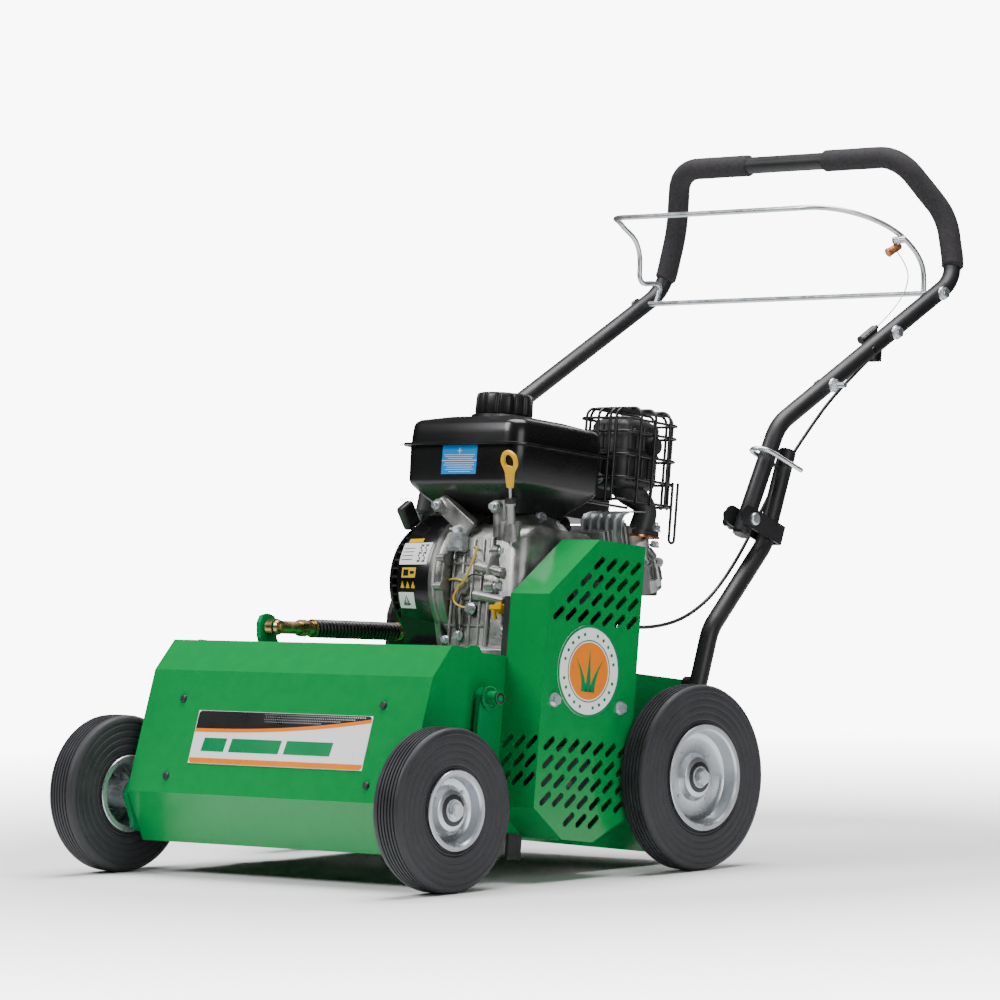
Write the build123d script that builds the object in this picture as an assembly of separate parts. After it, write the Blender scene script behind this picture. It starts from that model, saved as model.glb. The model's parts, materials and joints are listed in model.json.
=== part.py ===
from build123d import *
import os
from math import cos, hypot, radians, sin, tan

os.makedirs("parts", exist_ok=True)

# ---------------------------------------------------------------------------
# Walk-behind lawn dethatcher (power rake).
# Row frame: +Z up, the machine's front faces -Y, the operator's left is +X,
# and the floor under the wheels is Z = 0.
# Everything is drawn in the deck frame, whose origin is the rear axle: +y runs
# to the rear along the deck and +z stands off the deck. The front wheels are
# let down in the transport height, so the deck frame is pitched nose up.
# ---------------------------------------------------------------------------

# driving dimensions, in mm and degrees
deck_pitch = 7.59
row_shift_y = -77.685
rear_wheel_r = 127.0
front_wheel_r = 109.0

front_axle_y = -442.1
front_axle_drop = front_wheel_r - rear_wheel_r + front_axle_y * sin(radians(deck_pitch))
front_axle_z = front_axle_drop / cos(radians(deck_pitch))
front_tyre_in, front_tyre_out = 287.8, 336.8
rear_tyre_in, rear_tyre_out = 334.0, 377.8
front_lip_r, front_lip_x = 53.3, 340.0
rear_lip_r = 72.6
axle_r = 8.0
fit = 0.06

deck_half = 262.0
deck_sheet = 4.0
deck_top = 138.0
deck_bottom = -105.0

hood_half = 267.3
hood_sheet = 2.0
hood_top_edge = (-399.3, 141.8)
hood_upper_crease = (-431.6, 97.2)
hood_lower_crease = (-465.8, -73.9)
hood_bottom_edge = (-429.0, -139.7)
hood_rear = -363.0
hood_side_bottom = -4.0

carriage_y, carriage_z = -333.0, 78.0
carriage_tube_r = 12.7
arm_in, arm_out = 269.0, 277.0
boss_end = 297.0

link_x = -92.0
link_pin_y, link_pin_z = -380.0, 163.4
lever_pin_y, lever_pin_z = -118.0, 181.0
lever_pivot_y, lever_pivot_z = -122.0, 118.0
lever_in, lever_out = -114.0, -106.0

guard_x = 331.5
guard_sheet = 2.0
guard_front, guard_rear = -287.3, -101.4
guard_slope_y, guard_slope_z = -194.5, 222.6
guard_top, guard_bottom = 304.8, -101.2
slot_pitch = 24.6
slot_length, slot_width, slot_lean = 26.0, 8.5, 42.0

crank_y, crank_z = -185.0, 245.0
reel_y, reel_z = -195.0, -30.0
reel_tip_r = 102.0
reel_shaft_r = 12.5
flail_rod_r, flail_rod_circle = 5.0, 45.0
flail_stagger = 7.0
drive_pulley_r, reel_pulley_r = 28.0, 56.0
pulley_in, pulley_out = 284.0, 302.0
belt_thick = 8.0

handle_x = 285.25
tube_r = 12.7
tube_wall = 2.0
foam_r = 16.5
fold_y, fold_z = 157.7, 371.8
bail_y, bail_z = 549.0, 748.0
bail_wire_r = 4.0

tank_sides = (33.0, 246.0, -281.0, -96.0)
cap_x, cap_y = 138.0, -196.0

deck_frame = Pos(0, row_shift_y, rear_wheel_r) * Rot(X=-deck_pitch)


# ------------------------------- helpers -----------------------------------
def rod_x(y, z, r, x0, x1):
    """A cylinder along X."""
    return Pos((x0 + x1) / 2, y, z) * Rot(Y=90) * Cylinder(r, abs(x1 - x0))


def block(x0, x1, y0, y1, z0, z1):
    """A box between two corners."""
    return Pos((x0 + x1) / 2, (y0 + y1) / 2, (z0 + z1) / 2) * Box(x1 - x0, y1 - y0, z1 - z0)


def plate(points, x0, x1):
    """A plate in a plane of constant X, from its outline of (y, z) points."""
    face = Plane.YZ.offset(x0) * make_face(Polyline(*points, close=True))
    return extrude(face, x1 - x0, dir=(1, 0, 0))


def shrunk_plate(points, inset, x0, x1):
    """The same outline moved inwards by the sheet's thickness."""
    face = offset(make_face(Polyline(*points, close=True)), -inset, kind=Kind.INTERSECTION)
    return extrude(Plane.YZ.offset(x0) * face, x1 - x0, dir=(1, 0, 0))


def rod_between(a, b, r):
    """A round rod between two points."""
    a, b = Vector(*a), Vector(*b)
    return Plane(a, z_dir=b - a) * Cylinder(r, (b - a).length, align=(Align.CENTER, Align.CENTER, Align.MIN))


def bent_rod(points, radii, r, bore=0.0):
    """A round rod or tube along straight runs joined by arcs."""
    path = FilletPolyline(*points, radius=radii)
    section = Plane(path @ 0, z_dir=path % 0) * Circle(r)
    if bore:
        section = section - Plane(path @ 0, z_dir=path % 0) * Circle(bore)
    return sweep(section, path=path)


def both_sides(make):
    """The piece on the +X side and its mirror image on the -X side."""
    piece = make()
    return [piece, mirror(piece, about=Plane.YZ)]


def group(pieces):
    return Compound(children=list(pieces))


def save(name, shape):
    export_step(deck_frame * shape, f"parts/{name}.step")


def turned(profile, y, z):
    """A body turned about an axle along X, from its (x, radius) outline."""
    face = make_face(Polyline(*[(x, radius) for x, radius in profile], close=True))
    return Pos(0, y, z) * revolve(face, Axis.X)


# ------------------------------- chassis -----------------------------------
def deck_shell():
    side = [(-392, deck_top), (-424, 94), (-440, 0), (-385, deck_bottom), (60, deck_bottom),
            (112, -30), (112, 100), (94, deck_top)]
    ear = [(-365, 120), (-368, 140), (-357, 146), (-342, 146), (-333, 136), (-331, 120)]
    shell = block(-deck_half, deck_half, -392, 94, deck_top - deck_sheet, deck_top)
    for s in (-1, 1):
        x0, x1 = sorted((s * deck_half, s * (deck_half - deck_sheet)))
        shell += plate(side, x0, x1)
        shell += plate(ear, x0, x1)
    rear_fold = [(90, deck_top), (94, deck_top), (112, 100), (112, 60), (108, 60), (108, 99), (91.5, 134),
                 (90, 134)]
    shell += plate(rear_fold, -deck_half, deck_half)
    # two plates under the deck and a pin carry the height lever
    for x0 in (lever_in - 8, lever_out + 3):
        shell += block(x0, x0 + 5, -146, -98, lever_pivot_z - 14, deck_top - deck_sheet)
    # slots for the carriage's lever arm and for the hand lever
    shell -= block(-114, -92, -402, -318, deck_top - 10, deck_top + 10)
    shell -= block(lever_in - 3, lever_out + 3, -152, -52, deck_top - 10, deck_top + 1)
    shell += rod_x(lever_pivot_y, lever_pivot_z, 6, lever_in - 8, lever_out + 8)
    shell -= rod_x(carriage_y, carriage_z, carriage_tube_r + fit, -300, 300)
    shell -= rod_x(reel_y, reel_z, reel_shaft_r + 1.5, -300, 300)
    shell -= rod_x(0, 0, axle_r, -300, 300)
    return shell


def front_hood():
    outline = [hood_top_edge, hood_upper_crease, hood_lower_crease, hood_bottom_edge,
               (hood_rear, hood_bottom_edge[1]), (hood_rear, hood_top_edge[1])]
    hood = plate(outline, -hood_half, hood_half)
    inner_half = hood_half - hood_sheet
    hood -= shrunk_plate(outline, hood_sheet, -inner_half, inner_half)
    # the rear, the underside and most of the top are open
    hood -= block(-inner_half, inner_half, hood_rear - 5, hood_rear + 1, -150, 150)
    hood -= block(-inner_half, inner_half, -392, hood_rear + 1, 130, 150)
    hood -= block(-inner_half, inner_half, -425, hood_rear + 1, -145, -130)
    # the sides stop above the front axle, which swings past them
    low = shrunk_plate(outline, hood_sheet, -300, 300) & block(-300, 300, -500, -300, -200, hood_side_bottom)
    hood -= low
    hood -= block(-300, 300, -424, hood_rear + 1, -145, hood_side_bottom)
    for x, s in hood_screw_places():
        hood -= on_hood_front(x, s) * Cylinder(3.2, 12)
    return hood


def on_hood_front(x, down):
    """A place on the hood's front panel: X, and the distance below its upper crease. +Z points out."""
    y0, z0 = hood_upper_crease
    y1, z1 = hood_lower_crease
    run = hypot(y1 - y0, z1 - z0)
    dy, dz = (y1 - y0) / run, (z1 - z0) / run
    return Plane((x, y0 + dy * down, z0 + dz * down), x_dir=(1, 0, 0), z_dir=(0, dz, -dy)).location


def hood_screw_places():
    return [(x, s) for x in (-196, 189) for s in (40.8, 151.2)]


def hood_screws():
    screws = []
    for x, s in hood_screw_places():
        head = Pos(0, 0, 1.6) * Cylinder(5.5, 3.2)
        head = fillet(head.edges().filter_by(GeomType.CIRCLE).sort_by(Axis.Z)[-1], 2.2)
        screws.append(on_hood_front(x, s) * (head + Pos(0, 0, -4.5) * Cylinder(3.1, 9)))
    return group(screws)


def name_plates():
    """The plain plate on the hood and the round one on the belt guard."""
    hood_plate = on_hood_front(8, 94) * Pos(0, 0, 0.4) * Box(334, 75, 0.8)
    round_plate = rod_x(-198.8, 126.7, 62, guard_x, guard_x + 0.8)
    return group([hood_plate, round_plate])


# ------------------------------ belt guard ---------------------------------
def guard_outline():
    return [(guard_front, -62.7), (guard_front, guard_slope_z), (guard_slope_y, guard_top),
            (guard_rear, guard_top), (guard_rear, -63.7), (-166.2, guard_bottom), (-227.6, guard_bottom)]


def slot_cutter(plane):
    slot = Rot(Z=slot_lean) * SlotOverall(slot_length, slot_width)
    return extrude(plane * slot, 8, both=True)


def belt_guard():
    guard = plate(guard_outline(), deck_half, guard_x)
    guard -= shrunk_plate(guard_outline(), guard_sheet, deck_half - 1, guard_x - guard_sheet)
    rear_column = -118.0
    rows = [(273.0, range(0, 4)), (248.5, range(0, 5)), (224.0, range(0, 6)), (199.4, range(0, 7)),
            (24.5, range(0, 7)), (-0.1, range(0, 7)), (-24.6, range(0, 7)), (-49.2, range(0, 7)),
            (-73.7, range(2, 5))]
    for z, columns in rows:
        for i in columns:
            y = rear_column - slot_pitch * i
            guard -= slot_cutter(Plane((guard_x, y, z), x_dir=(0, 1, 0), z_dir=(1, 0, 0)))
    for z in (24.5, -0.1, -24.6):
        for x in (274.6, 297.0, 318.6):
            guard -= slot_cutter(Plane((x, guard_front, z), x_dir=(1, 0, 0), z_dir=(0, -1, 0)))
    for y in guard_bolt_rows:
        guard -= rod_x(y, guard_bolt_z, 4.3, guard_x - 10, guard_x + 10)
    guard -= Pos(292, guard_rear, 196) * Rot(X=90) * Cylinder(2.8, 12)
    return guard


guard_bolt_rows = (-262.8, -130.5)
guard_bolt_z = 82.9


def guard_bolts():
    bolts = []
    for y in guard_bolt_rows:
        bolt = rod_x(y, guard_bolt_z, 4.0, deck_half, guard_x + 6)
        bolt += rod_x(y, guard_bolt_z, 9.5, guard_x, guard_x + 2)
        bolt += Pos(guard_x + 2, y, guard_bolt_z) * Rot(Y=90) * extrude(RegularPolygon(7.2, 6), 5.5)
        bolts.append(bolt)
    return group(bolts)


def guard_backplate():
    outline = [(guard_front + 4, deck_top + 0.5), (guard_front + 4, guard_slope_z - 2),
               (guard_slope_y, guard_top - 4), (guard_rear - 4, guard_top - 4),
               (guard_rear - 4, deck_top + 0.5)]
    back = plate(outline, deck_half - deck_sheet, deck_half)
    back += block(deck_half - 12, deck_half, guard_front + 1, guard_front + 4, deck_top + 0.5,
                  guard_slope_z - 4)
    back -= rod_x(crank_y, crank_z, 40, 240, 270)
    back += rod_x(idler_pivot_y, idler_pivot_z, 5, deck_half - 1, 286)
    return back


# --------------------------- front height gear -----------------------------
def carriage_frame():
    frame = rod_x(carriage_y, carriage_z, carriage_tube_r, -arm_out, arm_out)
    arm = [(carriage_y - 15, carriage_z + 4), (carriage_y - 9, carriage_z + 14),
           (carriage_y + 9, carriage_z + 14), (carriage_y + 15, carriage_z + 4), (-317, 4), (-326, -14),
           (-421, -84), (-428, -118), (-436, -128),
           (-446, -124), (-449, -112), (-464, -80), (-455, -58), (-442, -52), (-350, 6)]
    for s in (-1, 1):
        x0, x1 = sorted((s * arm_in, s * arm_out))
        frame += plate(arm, x0, x1)
        x0, x1 = sorted((s * (arm_out - 1), s * boss_end))
        frame += rod_x(carriage_y, carriage_z, 10, x0, x1)
        x0, x1 = sorted((s * arm_out, s * (arm_out + 4)))
        frame += rod_x(carriage_y, carriage_z, 14, x0, x1)
        x0, x1 = sorted((s * (boss_end - 1), s * (boss_end + 3)))
        frame += rod_x(carriage_y, carriage_z, 8.8, x0, x1)
    lug = [(carriage_y - 6, carriage_z - 8), (carriage_y + 22, carriage_z + 10), (-362, 150), (-361, 168),
           (-369, 179), (-380, 182), (-391, 178), (-395, 168), (-393, 150), (-375, 110), (-352, 72)]
    frame += plate(lug, -111, -103)
    frame += rod_x(link_pin_y, link_pin_z, 6, -112, -82)
    frame += rod_x(link_pin_y, link_pin_z, 9, -84.5, -80)
    frame -= rod_x(front_axle_y, front_axle_z, axle_r, -300, 300)
    frame -= rod_x(-437, -115, 4, -300, 300)
    return frame


def front_axle_bolts():
    def bolt():
        piece = rod_x(front_axle_y, front_axle_z, axle_r, arm_in, front_lip_x + 1.6)
        return piece + rod_x(front_axle_y, front_axle_z, 13, front_lip_x - 10, front_lip_x - 2)
    return group(both_sides(bolt))


def link_line(t):
    """A point on the height link, t mm behind the front pin."""
    dy, dz = lever_pin_y - link_pin_y, lever_pin_z - link_pin_z
    run = hypot(dy, dz)
    return (link_x, link_pin_y + dy * t / run, link_pin_z + dz * t / run)


def height_link_rod():
    length = hypot(lever_pin_y - link_pin_y, lever_pin_z - link_pin_z)
    rod = rod_x(link_pin_y, link_pin_z, 11.5, link_x - 6, link_x + 6)
    rod += rod_between(link_line(11), link_line(52), 9)
    rod += rod_between(link_line(48), link_line(66), 11)
    rod += rod_between(link_line(60), link_line(72), 10)
    rod += rod_between(link_line(66), link_line(length - 6), 6)
    rod += rod_x(lever_pin_y, lever_pin_z, 13, link_x - 8, link_x + 8)
    rod += rod_between(link_line(length - 22), link_line(length - 18), 13.2)
    rod -= rod_x(lever_pin_y, lever_pin_z, 8.5, link_x - 20, link_x + 20)
    rod -= rod_x(link_pin_y, link_pin_z, 6 + fit, link_x - 20, link_x + 20)
    return rod


def height_link_spring():
    length = hypot(lever_pin_y - link_pin_y, lever_pin_z - link_pin_z)
    coil = rod_between(link_line(73), link_line(length - 22.5), 13)
    return coil - rod_between(link_line(70), link_line(length), 7.5)


def height_lever():
    lever = rod_x(lever_pivot_y, lever_pivot_z, 13, lever_in, lever_out)
    hand = radians(80)
    top_y, top_z = lever_pivot_y + 326 * cos(hand), lever_pivot_z + 326 * sin(hand)
    outline = [(-135, lever_pivot_z), (-138, 205), (-132, 224), (-112, 232), (top_y - 9, top_z),
               (top_y + 9, top_z), (-88, 215), (-98, 150), (-109, lever_pivot_z)]
    lever += plate(outline, lever_in, lever_out)
    lever += rod_x(lever_pin_y, lever_pin_z, 5, lever_out, link_x + 12)
    lever -= rod_x(lever_pivot_y, lever_pivot_z, 6 + fit, lever_in - 1, lever_out + 1)
    return lever


def lever_grip():
    hand = radians(80)
    ends = [(-110, lever_pivot_y + r * cos(hand), lever_pivot_z + r * sin(hand)) for r in (236, 340)]
    grip = rod_between(ends[0], ends[1], 14)
    grip = fillet(grip.edges().filter_by(GeomType.CIRCLE), 5)
    return grip - height_lever()


# -------------------------------- wheels -----------------------------------
def tyre(y, z, r, bead_r, x_in, x_out):
    c = 5.0
    profile = [(x_in + 4, bead_r), (x_in, bead_r + 8), (x_in, r - 12), (x_in + c, r - 2), (x_in + 10, r),
               (x_out - 10, r), (x_out - c, r - 2), (x_out, r - 12), (x_out, bead_r + 8), (x_out - 4, bead_r)]
    return turned(profile, y, z)


def rim(y, z, lip_r, bead_r, x_in, x_out, hub_in):
    """A stamped rim: two lips, a bead seat, a dished web and a long hub barrel."""
    mid = (x_in + x_out) / 2
    barrel = turned([(x_in - 3, bead_r - 5), (x_in - 3, lip_r), (x_in - 0.5, lip_r), (x_in + 3, bead_r),
                     (x_out - 3, bead_r), (x_out + 0.7, lip_r), (x_out + 3.2, lip_r),
                     (x_out + 3.2, bead_r - 5),
                     (x_out - 6, bead_r - 6), (mid, bead_r - 8), (x_in + 6, bead_r - 6)], y, z)
    web = turned([(mid - 3, 15), (mid - 3, bead_r - 6), (mid + 3, bead_r - 6), (mid + 6, bead_r - 14),
                  (mid - 1, 32), (mid + 6, 26), (mid + 6, 15)], y, z)
    hub = rod_x(y, z, 20.5, hub_in, x_out - 12)
    return barrel + web + hub - rod_x(y, z, axle_r + fit, hub_in - 1, x_out + 5)


def wheel_nodes():
    front = (front_axle_y, front_axle_z)
    front_tyre = tyre(*front, front_wheel_r, 49.5, front_tyre_in, front_tyre_out)
    front_rim = rim(*front, front_lip_r, 49.4, front_tyre_in, front_tyre_out, arm_out + 2)
    rear_tyre = tyre(0, 0, rear_wheel_r, 68.5, rear_tyre_in, rear_tyre_out)
    rear_rim = rim(0, 0, rear_lip_r, 68.4, rear_tyre_in, rear_tyre_out, 303)
    for name, shape in (("front", front_tyre), ("rear", rear_tyre)):
        save(f"{name}_left_tyre", shape)
        save(f"{name}_right_tyre", mirror(shape, about=Plane.YZ))
    for name, shape in (("front", front_rim), ("rear", rear_rim)):
        save(f"{name}_left_rim", shape)
        save(f"{name}_right_rim", mirror(shape, about=Plane.YZ))


def rear_axle():
    axle = rod_x(0, 0, axle_r, -378.4, 378.4)
    for s in (-1, 1):
        for x0, x1, r in ((262.5, 302, 12), (366.3, 374, 13)):
            a, b = sorted((s * x0, s * x1))
            axle += rod_x(0, 0, r, a, b)
    return axle


# --------------------------------- reel ------------------------------------
def flail_places():
    """Centres of the three flail rods, each with the sideways shift of its blades."""
    for k in range(3):
        a = radians(-90 + 120 * k)
        yield flail_stagger * (k - 1), reel_y + flail_rod_circle * cos(a), reel_z + flail_rod_circle * sin(a)


disc_rows = (-232, -116, 0, 116, 232)


def reel_rotor():
    """The shaft, the three flail rods and the five discs pressed onto them."""
    bars = [rod_x(reel_y, reel_z, reel_shaft_r, -279, 303)]
    for _, y, z in flail_places():
        bars.append(rod_x(y, z, flail_rod_r, -238, 238))
    discs = []
    for x in disc_rows:
        disc = rod_x(reel_y, reel_z, 54, x - 2.5, x + 2.5)
        for bar in bars:
            disc -= bar
        discs.append(disc)
    return group(bars + discs)


def flail_set(stagger, y, z):
    """Free-swinging blades on one rod, between the discs, hanging straight down."""
    blades = []
    reach = reel_tip_r - flail_rod_circle
    angle = -90 + deck_pitch
    for left, right in zip(disc_rows[:-1], disc_rows[1:]):
        for i in range(1, 5):
            x = left + (right - left) * i / 5 + stagger
            blade = extrude(Plane.YZ * Pos(reach / 2 - 5, 0) * SlotOverall(reach + 10, 22), 3)
            blade -= rod_x(0, 0, flail_rod_r + fit, -5, 8)
            blades.append(Pos(x - 1.5, y, z) * Rot(X=angle) * blade)
    return group(blades)


def pulley(y, z, r, bore):
    p = rod_x(y, z, r, pulley_in, pulley_out)
    if bore:
        p -= rod_x(y, z, bore, pulley_in - 1, pulley_out + 1)
    return p


def reel_bearings():
    bearings = []
    for s in (-1, 1):
        a, b = sorted((s * (deck_half + 0.0), s * (deck_half + 14)))
        housing = rod_x(reel_y, reel_z, 26, a, b)
        a, b = sorted((s * deck_half, s * (deck_half + 4)))
        housing += rod_x(reel_y, reel_z, 40, a, b)
        bearings.append(housing - rod_x(reel_y, reel_z, reel_shaft_r + fit, -300, 300))
    return group(bearings)


def belt_band(gap):
    """The outline round both pulleys, gap mm outside them, as a solid."""
    circles = [Pos(crank_y, crank_z) * CenterArc((0, 0), drive_pulley_r + gap, 0, 360),
               Pos(reel_y, reel_z) * CenterArc((0, 0), reel_pulley_r + gap, 0, 360)]
    return extrude(Plane.YZ.offset(pulley_in + 3) * make_hull(circles), 12, dir=(1, 0, 0))


def drive_belt():
    return belt_band(belt_thick) - belt_band(0.4)


idler_pivot_y, idler_pivot_z = -122.0, 196.0
idler_y, idler_z = -122.6, 140.0


def idler_arm():
    arm = rod_x(idler_pivot_y, idler_pivot_z, 9, 264, 284)
    arm += block(279, 283, idler_y - 7, idler_y + 7, idler_z, idler_pivot_z)
    arm += rod_x(idler_y, idler_z, 5, 279, 300)
    return arm - rod_x(idler_pivot_y, idler_pivot_z, 5 + fit, 255, 290)


def idler_pulley():
    return rod_x(idler_y, idler_z, 12, 287, 299) - rod_x(idler_y, idler_z, 5, 280, 305)


# -------------------------------- engine -----------------------------------
dip_foot = (235.0, -268.0, 312.0)
dip_dir = (16.0, -30.0, 86.0)


def dip_point(z):
    t = (z - dip_foot[2]) / dip_dir[2]
    return tuple(dip_foot[i] + dip_dir[i] * t for i in range(3))


cylinder_lean = 16.0
cylinder_frame = Pos(0, crank_y, crank_z) * Rot(X=cylinder_lean)


def engine_crankcase():
    case = block(116, 250, -262, -95, deck_top + 10, 320)
    case = fillet(case.edges().filter_by(Axis.X).group_by(Axis.Y)[0], 24)
    case += block(112, 256, -272, -88, deck_top, deck_top + 12)
    case += rod_x(crank_y, crank_z, 62, 250, 256)
    # two cast arms carry the front of the fuel tank
    arm_side = Polyline((84, 350.5), (112, 350.5), (166, 318), (166, 290), (138, 290), (138, 318), close=True)
    arm = Plane.XZ.offset(250) * make_face(arm_side)
    case += extrude(arm, 16, dir=(0, -1, 0))
    case += block(198, 216, -266, -250, 300, 350.5)
    case -= rod_x(crank_y, crank_z, 10 + fit, 100, 270)
    case -= rod_between(dip_point(200), dip_point(330), 3.2)
    return case


def engine_cylinder():
    barrel = block(146, 232, 60, 165, -38, 38)
    for i in range(9):
        y = 92 + 9 * i
        barrel += block(134, 244, y, y + 3.4, -52, 52)
    head = block(132, 246, 165, 192, -48, 48)
    cover = block(150, 228, 192, 216, -36, 36)
    cover = fillet(cover.edges().filter_by(Axis.Y), 12)
    whole = cylinder_frame * (barrel + head + cover)
    return whole - block(100, 300, -300, -94.9, 100, 400)


def blower_housing():
    shell = rod_x(crank_y, crank_z, 105, 90, 116)
    shell += rod_x(crank_y, crank_z, 90, 40, 92)
    shell += block(90, 116, crank_y - 104, crank_y + 90, deck_top + 12, crank_z)
    shell += block(40, 92, crank_y - 80, crank_y + 80, deck_top + 14, crank_z)
    shell -= rod_x(crank_y, crank_z, 84, 39, 110)
    shell -= rod_x(crank_y, crank_z, 16, 100, 120)
    shell -= engine_crankcase()
    return shell - fuel_tank()


recoil_angle = radians(127.2)


def recoil_point(r):
    return (24, crank_y + r * cos(recoil_angle), crank_z + r * sin(recoil_angle))


def recoil_cover():
    cover = rod_x(crank_y, crank_z, 88, 8, 40)
    cover = fillet(cover.edges().filter_by(GeomType.CIRCLE).sort_by(Axis.X)[0], 12)
    cover -= rod_x(crank_y, crank_z, 82, 12, 41)
    return cover - rod_between(recoil_point(70), recoil_point(95), 3)


def recoil_grip():
    """The pull grip with the start of its rope, which lies inside the cover."""
    top = Plane(recoil_point(91), x_dir=(1, 0, 0), z_dir=Vector(*recoil_point(2)) - Vector(*recoil_point(1)))
    grip = top * Pos(0, 0, 18) * Box(15, 26, 36)
    grip = fillet(grip.edges(), 5)
    return grip + rod_between(recoil_point(-70), recoil_point(100), 2.2)


def fuel_tank():
    rim_z, rim_half = 427.0, 1.6
    x0, x1, y0, y1 = tank_sides
    lower = block(x0, x1, y0, y1, 352, rim_z)
    lower = chamfer(lower.edges().group_by(Axis.Z)[0], 14)
    belly = block(75, 215, -240, -130, 336, 360)
    upper = block(x0, x1, y0, y1, rim_z, 470)
    upper = chamfer(upper.edges().group_by(Axis.Z)[-1], 10, 24)
    upper += block(cap_x - 45, cap_x + 45, cap_y - 45, cap_y + 45, 469, 474)
    upper += Pos(cap_x, cap_y, 479) * Cylinder(25, 10)
    flange = block(x0 - 9, x1 + 9, y0 - 9, y1 + 9, rim_z - rim_half, rim_z + rim_half)
    flange = fillet(flange.edges().filter_by(Axis.Z), 24)
    return lower + belly + upper + flange


def fuel_cap():
    cap = Pos(cap_x, cap_y, 490) * Cylinder(40, 30)
    cap = fillet(cap.edges().filter_by(GeomType.CIRCLE).sort_by(Axis.Z)[-1], 4)
    for k in range(12):
        a = radians(30 * k)
        cap -= Pos(cap_x + 42.5 * cos(a), cap_y + 42.5 * sin(a), 490) * Cylinder(4.5, 40)
    return cap - Pos(cap_x, cap_y, 479) * Cylinder(25.4, 12)


def muffler():
    body = block(178, 245, -65, 15, 392, 490)
    body = fillet(body.edges().filter_by(Axis.Z), 14)
    body += Pos(250, -8, 455) * Rot(Y=90) * Cylinder(14, 12)
    elbow = rod_between((218, -14, 357), (214, -22, 396), 16)
    flange = block(192, 246, -30, 6, 354, 359)
    return body + elbow + flange


def muffler_guard():
    """A welded wire cage round the muffler, with a hairpin tail."""
    r = 2.0
    weld = 2.8
    x0, x1, y0, y1, z0, z1 = 165.0, 260.0, -78.0, 40.0, 374.0, 501.0
    a0, a1, b0, b1 = x0 + weld, x1 - weld, y0 + weld, y1 - weld
    wires = []
    for z in (z0, 405.0, 437.0, 469.0, z1 - 14):
        hoop = [(a0, b1, z), (a0, b0, z), (a1, b0, z), (a1, b1, z), (a0 + 30, b1, z)]
        wires.append(bent_rod(hoop, [14, 14, 14], r))
    for x in (x0 + 20, x0 + 42, x0 + 64, x1 - 20):
        wires.append(bent_rod([(x, y0, z0 - 3), (x, y0, z1), (x, y1, z1), (x, y1, z0 - 3)], [14, 14], r))
    for y in (y0 + 30, y0 + 60, y0 + 90):
        hoop = [(x0, y, 402), (x0, y, z1 + weld), (x1, y, z1 + weld), (x1, y, z0 - 3)]
        wires.append(bent_rod(hoop, [14, 14], r))
    wires.append(bent_rod([(x1, 26, 408), (x1, 26, 324), (x1, 37, 324), (x1, 37, 408)], [5.4, 5.4], r))
    wires.append(rod_between((212, y0, 437), (212, -65, 437), 3))
    cage = wires[0]
    for wire in wires[1:]:
        cage = cage + wire
    return cage


throttle_y, throttle_z = -20.0, 364.0


def air_cleaner():
    box = block(34, 136, -82, 46, 352, 455)
    box = fillet(box.edges().filter_by(Axis.Z), 16)
    carburettor = block(78, 112, -80, -40, 322, 352)
    return box + carburettor + rod_x(throttle_y, throttle_z, 3, 25, 40)


def dipstick_tube():
    foot = rod_between(dip_point(312), dip_point(350), 5.5) + rod_between(dip_point(342), dip_point(350), 7.5)
    foot += block(222, 242, -272, -262, 298, 318)
    foot -= block(200, 260, -262, -200, 280, 340)
    return foot - rod_between(dip_point(290), dip_point(360), 3.2)


def dipstick():
    blade = rod_between(dip_point(215), dip_point(372), 2.2)
    stem = rod_between(dip_point(350.2), dip_point(358), 5) + rod_between(dip_point(356), dip_point(384), 3.6)
    x, y, z = dip_point(398)
    ring = Pos(x, y, z) * Rot(X=90) * (Cylinder(15.2, 5) - Cylinder(9, 6))
    return blade + stem + ring


def crankshaft():
    shaft = rod_x(crank_y, crank_z, 10, 46, 304)
    return shaft + pulley(crank_y, crank_z, drive_pulley_r, 0)


def flywheel():
    wheel = rod_x(crank_y, crank_z, 78, 72, 100) - rod_x(crank_y, crank_z, 60, 71, 88)
    return wheel - rod_x(crank_y, crank_z, 10, 40, 120)


def throttle_lever():
    lever = rod_x(throttle_y, throttle_z, 9, 28, 31)
    lever += block(28, 31, throttle_y - 3, throttle_y + 3, 318, throttle_z)
    return lever - rod_x(throttle_y, throttle_z, 3 + fit, 25, 35)


# -------------------------------- handle -----------------------------------
lower_tube = [(handle_x, 55, 20), (handle_x, 98.3, 211), (handle_x, 201, 341), (handle_x, 237, 475)]
upper_foot = (handle_x, 149.6, 351.3)
upper_tube = [upper_foot, (handle_x, 212.6, 511.5), (handle_x, 592, 775.5), (264, 589, 868), (213, 530, 951)]
upper_bends = [70, 62, 90, 58]


def lower_handle():
    tube = bent_rod(lower_tube, [60, 60], tube_r, tube_r - tube_wall)
    for y, z in ((61, 46), (81, 134)):
        tube += rod_x(y, z, 9, deck_half, handle_x) - rod_x(y, z, 4, deck_half - 1, handle_x)
    return tube


def mirrored_points(points):
    return [(-x, y, z) for x, y, z in reversed(points)]


def upper_handle():
    route = upper_tube + mirrored_points(upper_tube)
    bends = upper_bends + upper_bends[::-1]
    tube = bent_rod(route, bends, tube_r, tube_r - tube_wall)
    for s in (-1, 1):
        a, b = sorted((s * 260, s * 310))
        tube -= rod_x(fold_y, fold_z, 4 + fit, a, b)
        a, b = sorted((s * 260, s * 290))
        tube -= rod_x(bail_y, bail_z, bail_wire_r + fit, a, b)
    # the tab under the left tube stops the cable's sheath
    tab = block(264, 290, 425, 428, 630, 652)
    return tube + tab


def foam_grips():
    def grip():
        sleeve = bent_rod(upper_tube + [(0, 530, 951)], upper_bends, foam_r, tube_r)
        return sleeve & block(72, 320, 480, 660, 788, 1000)
    return group(both_sides(grip))


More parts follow.
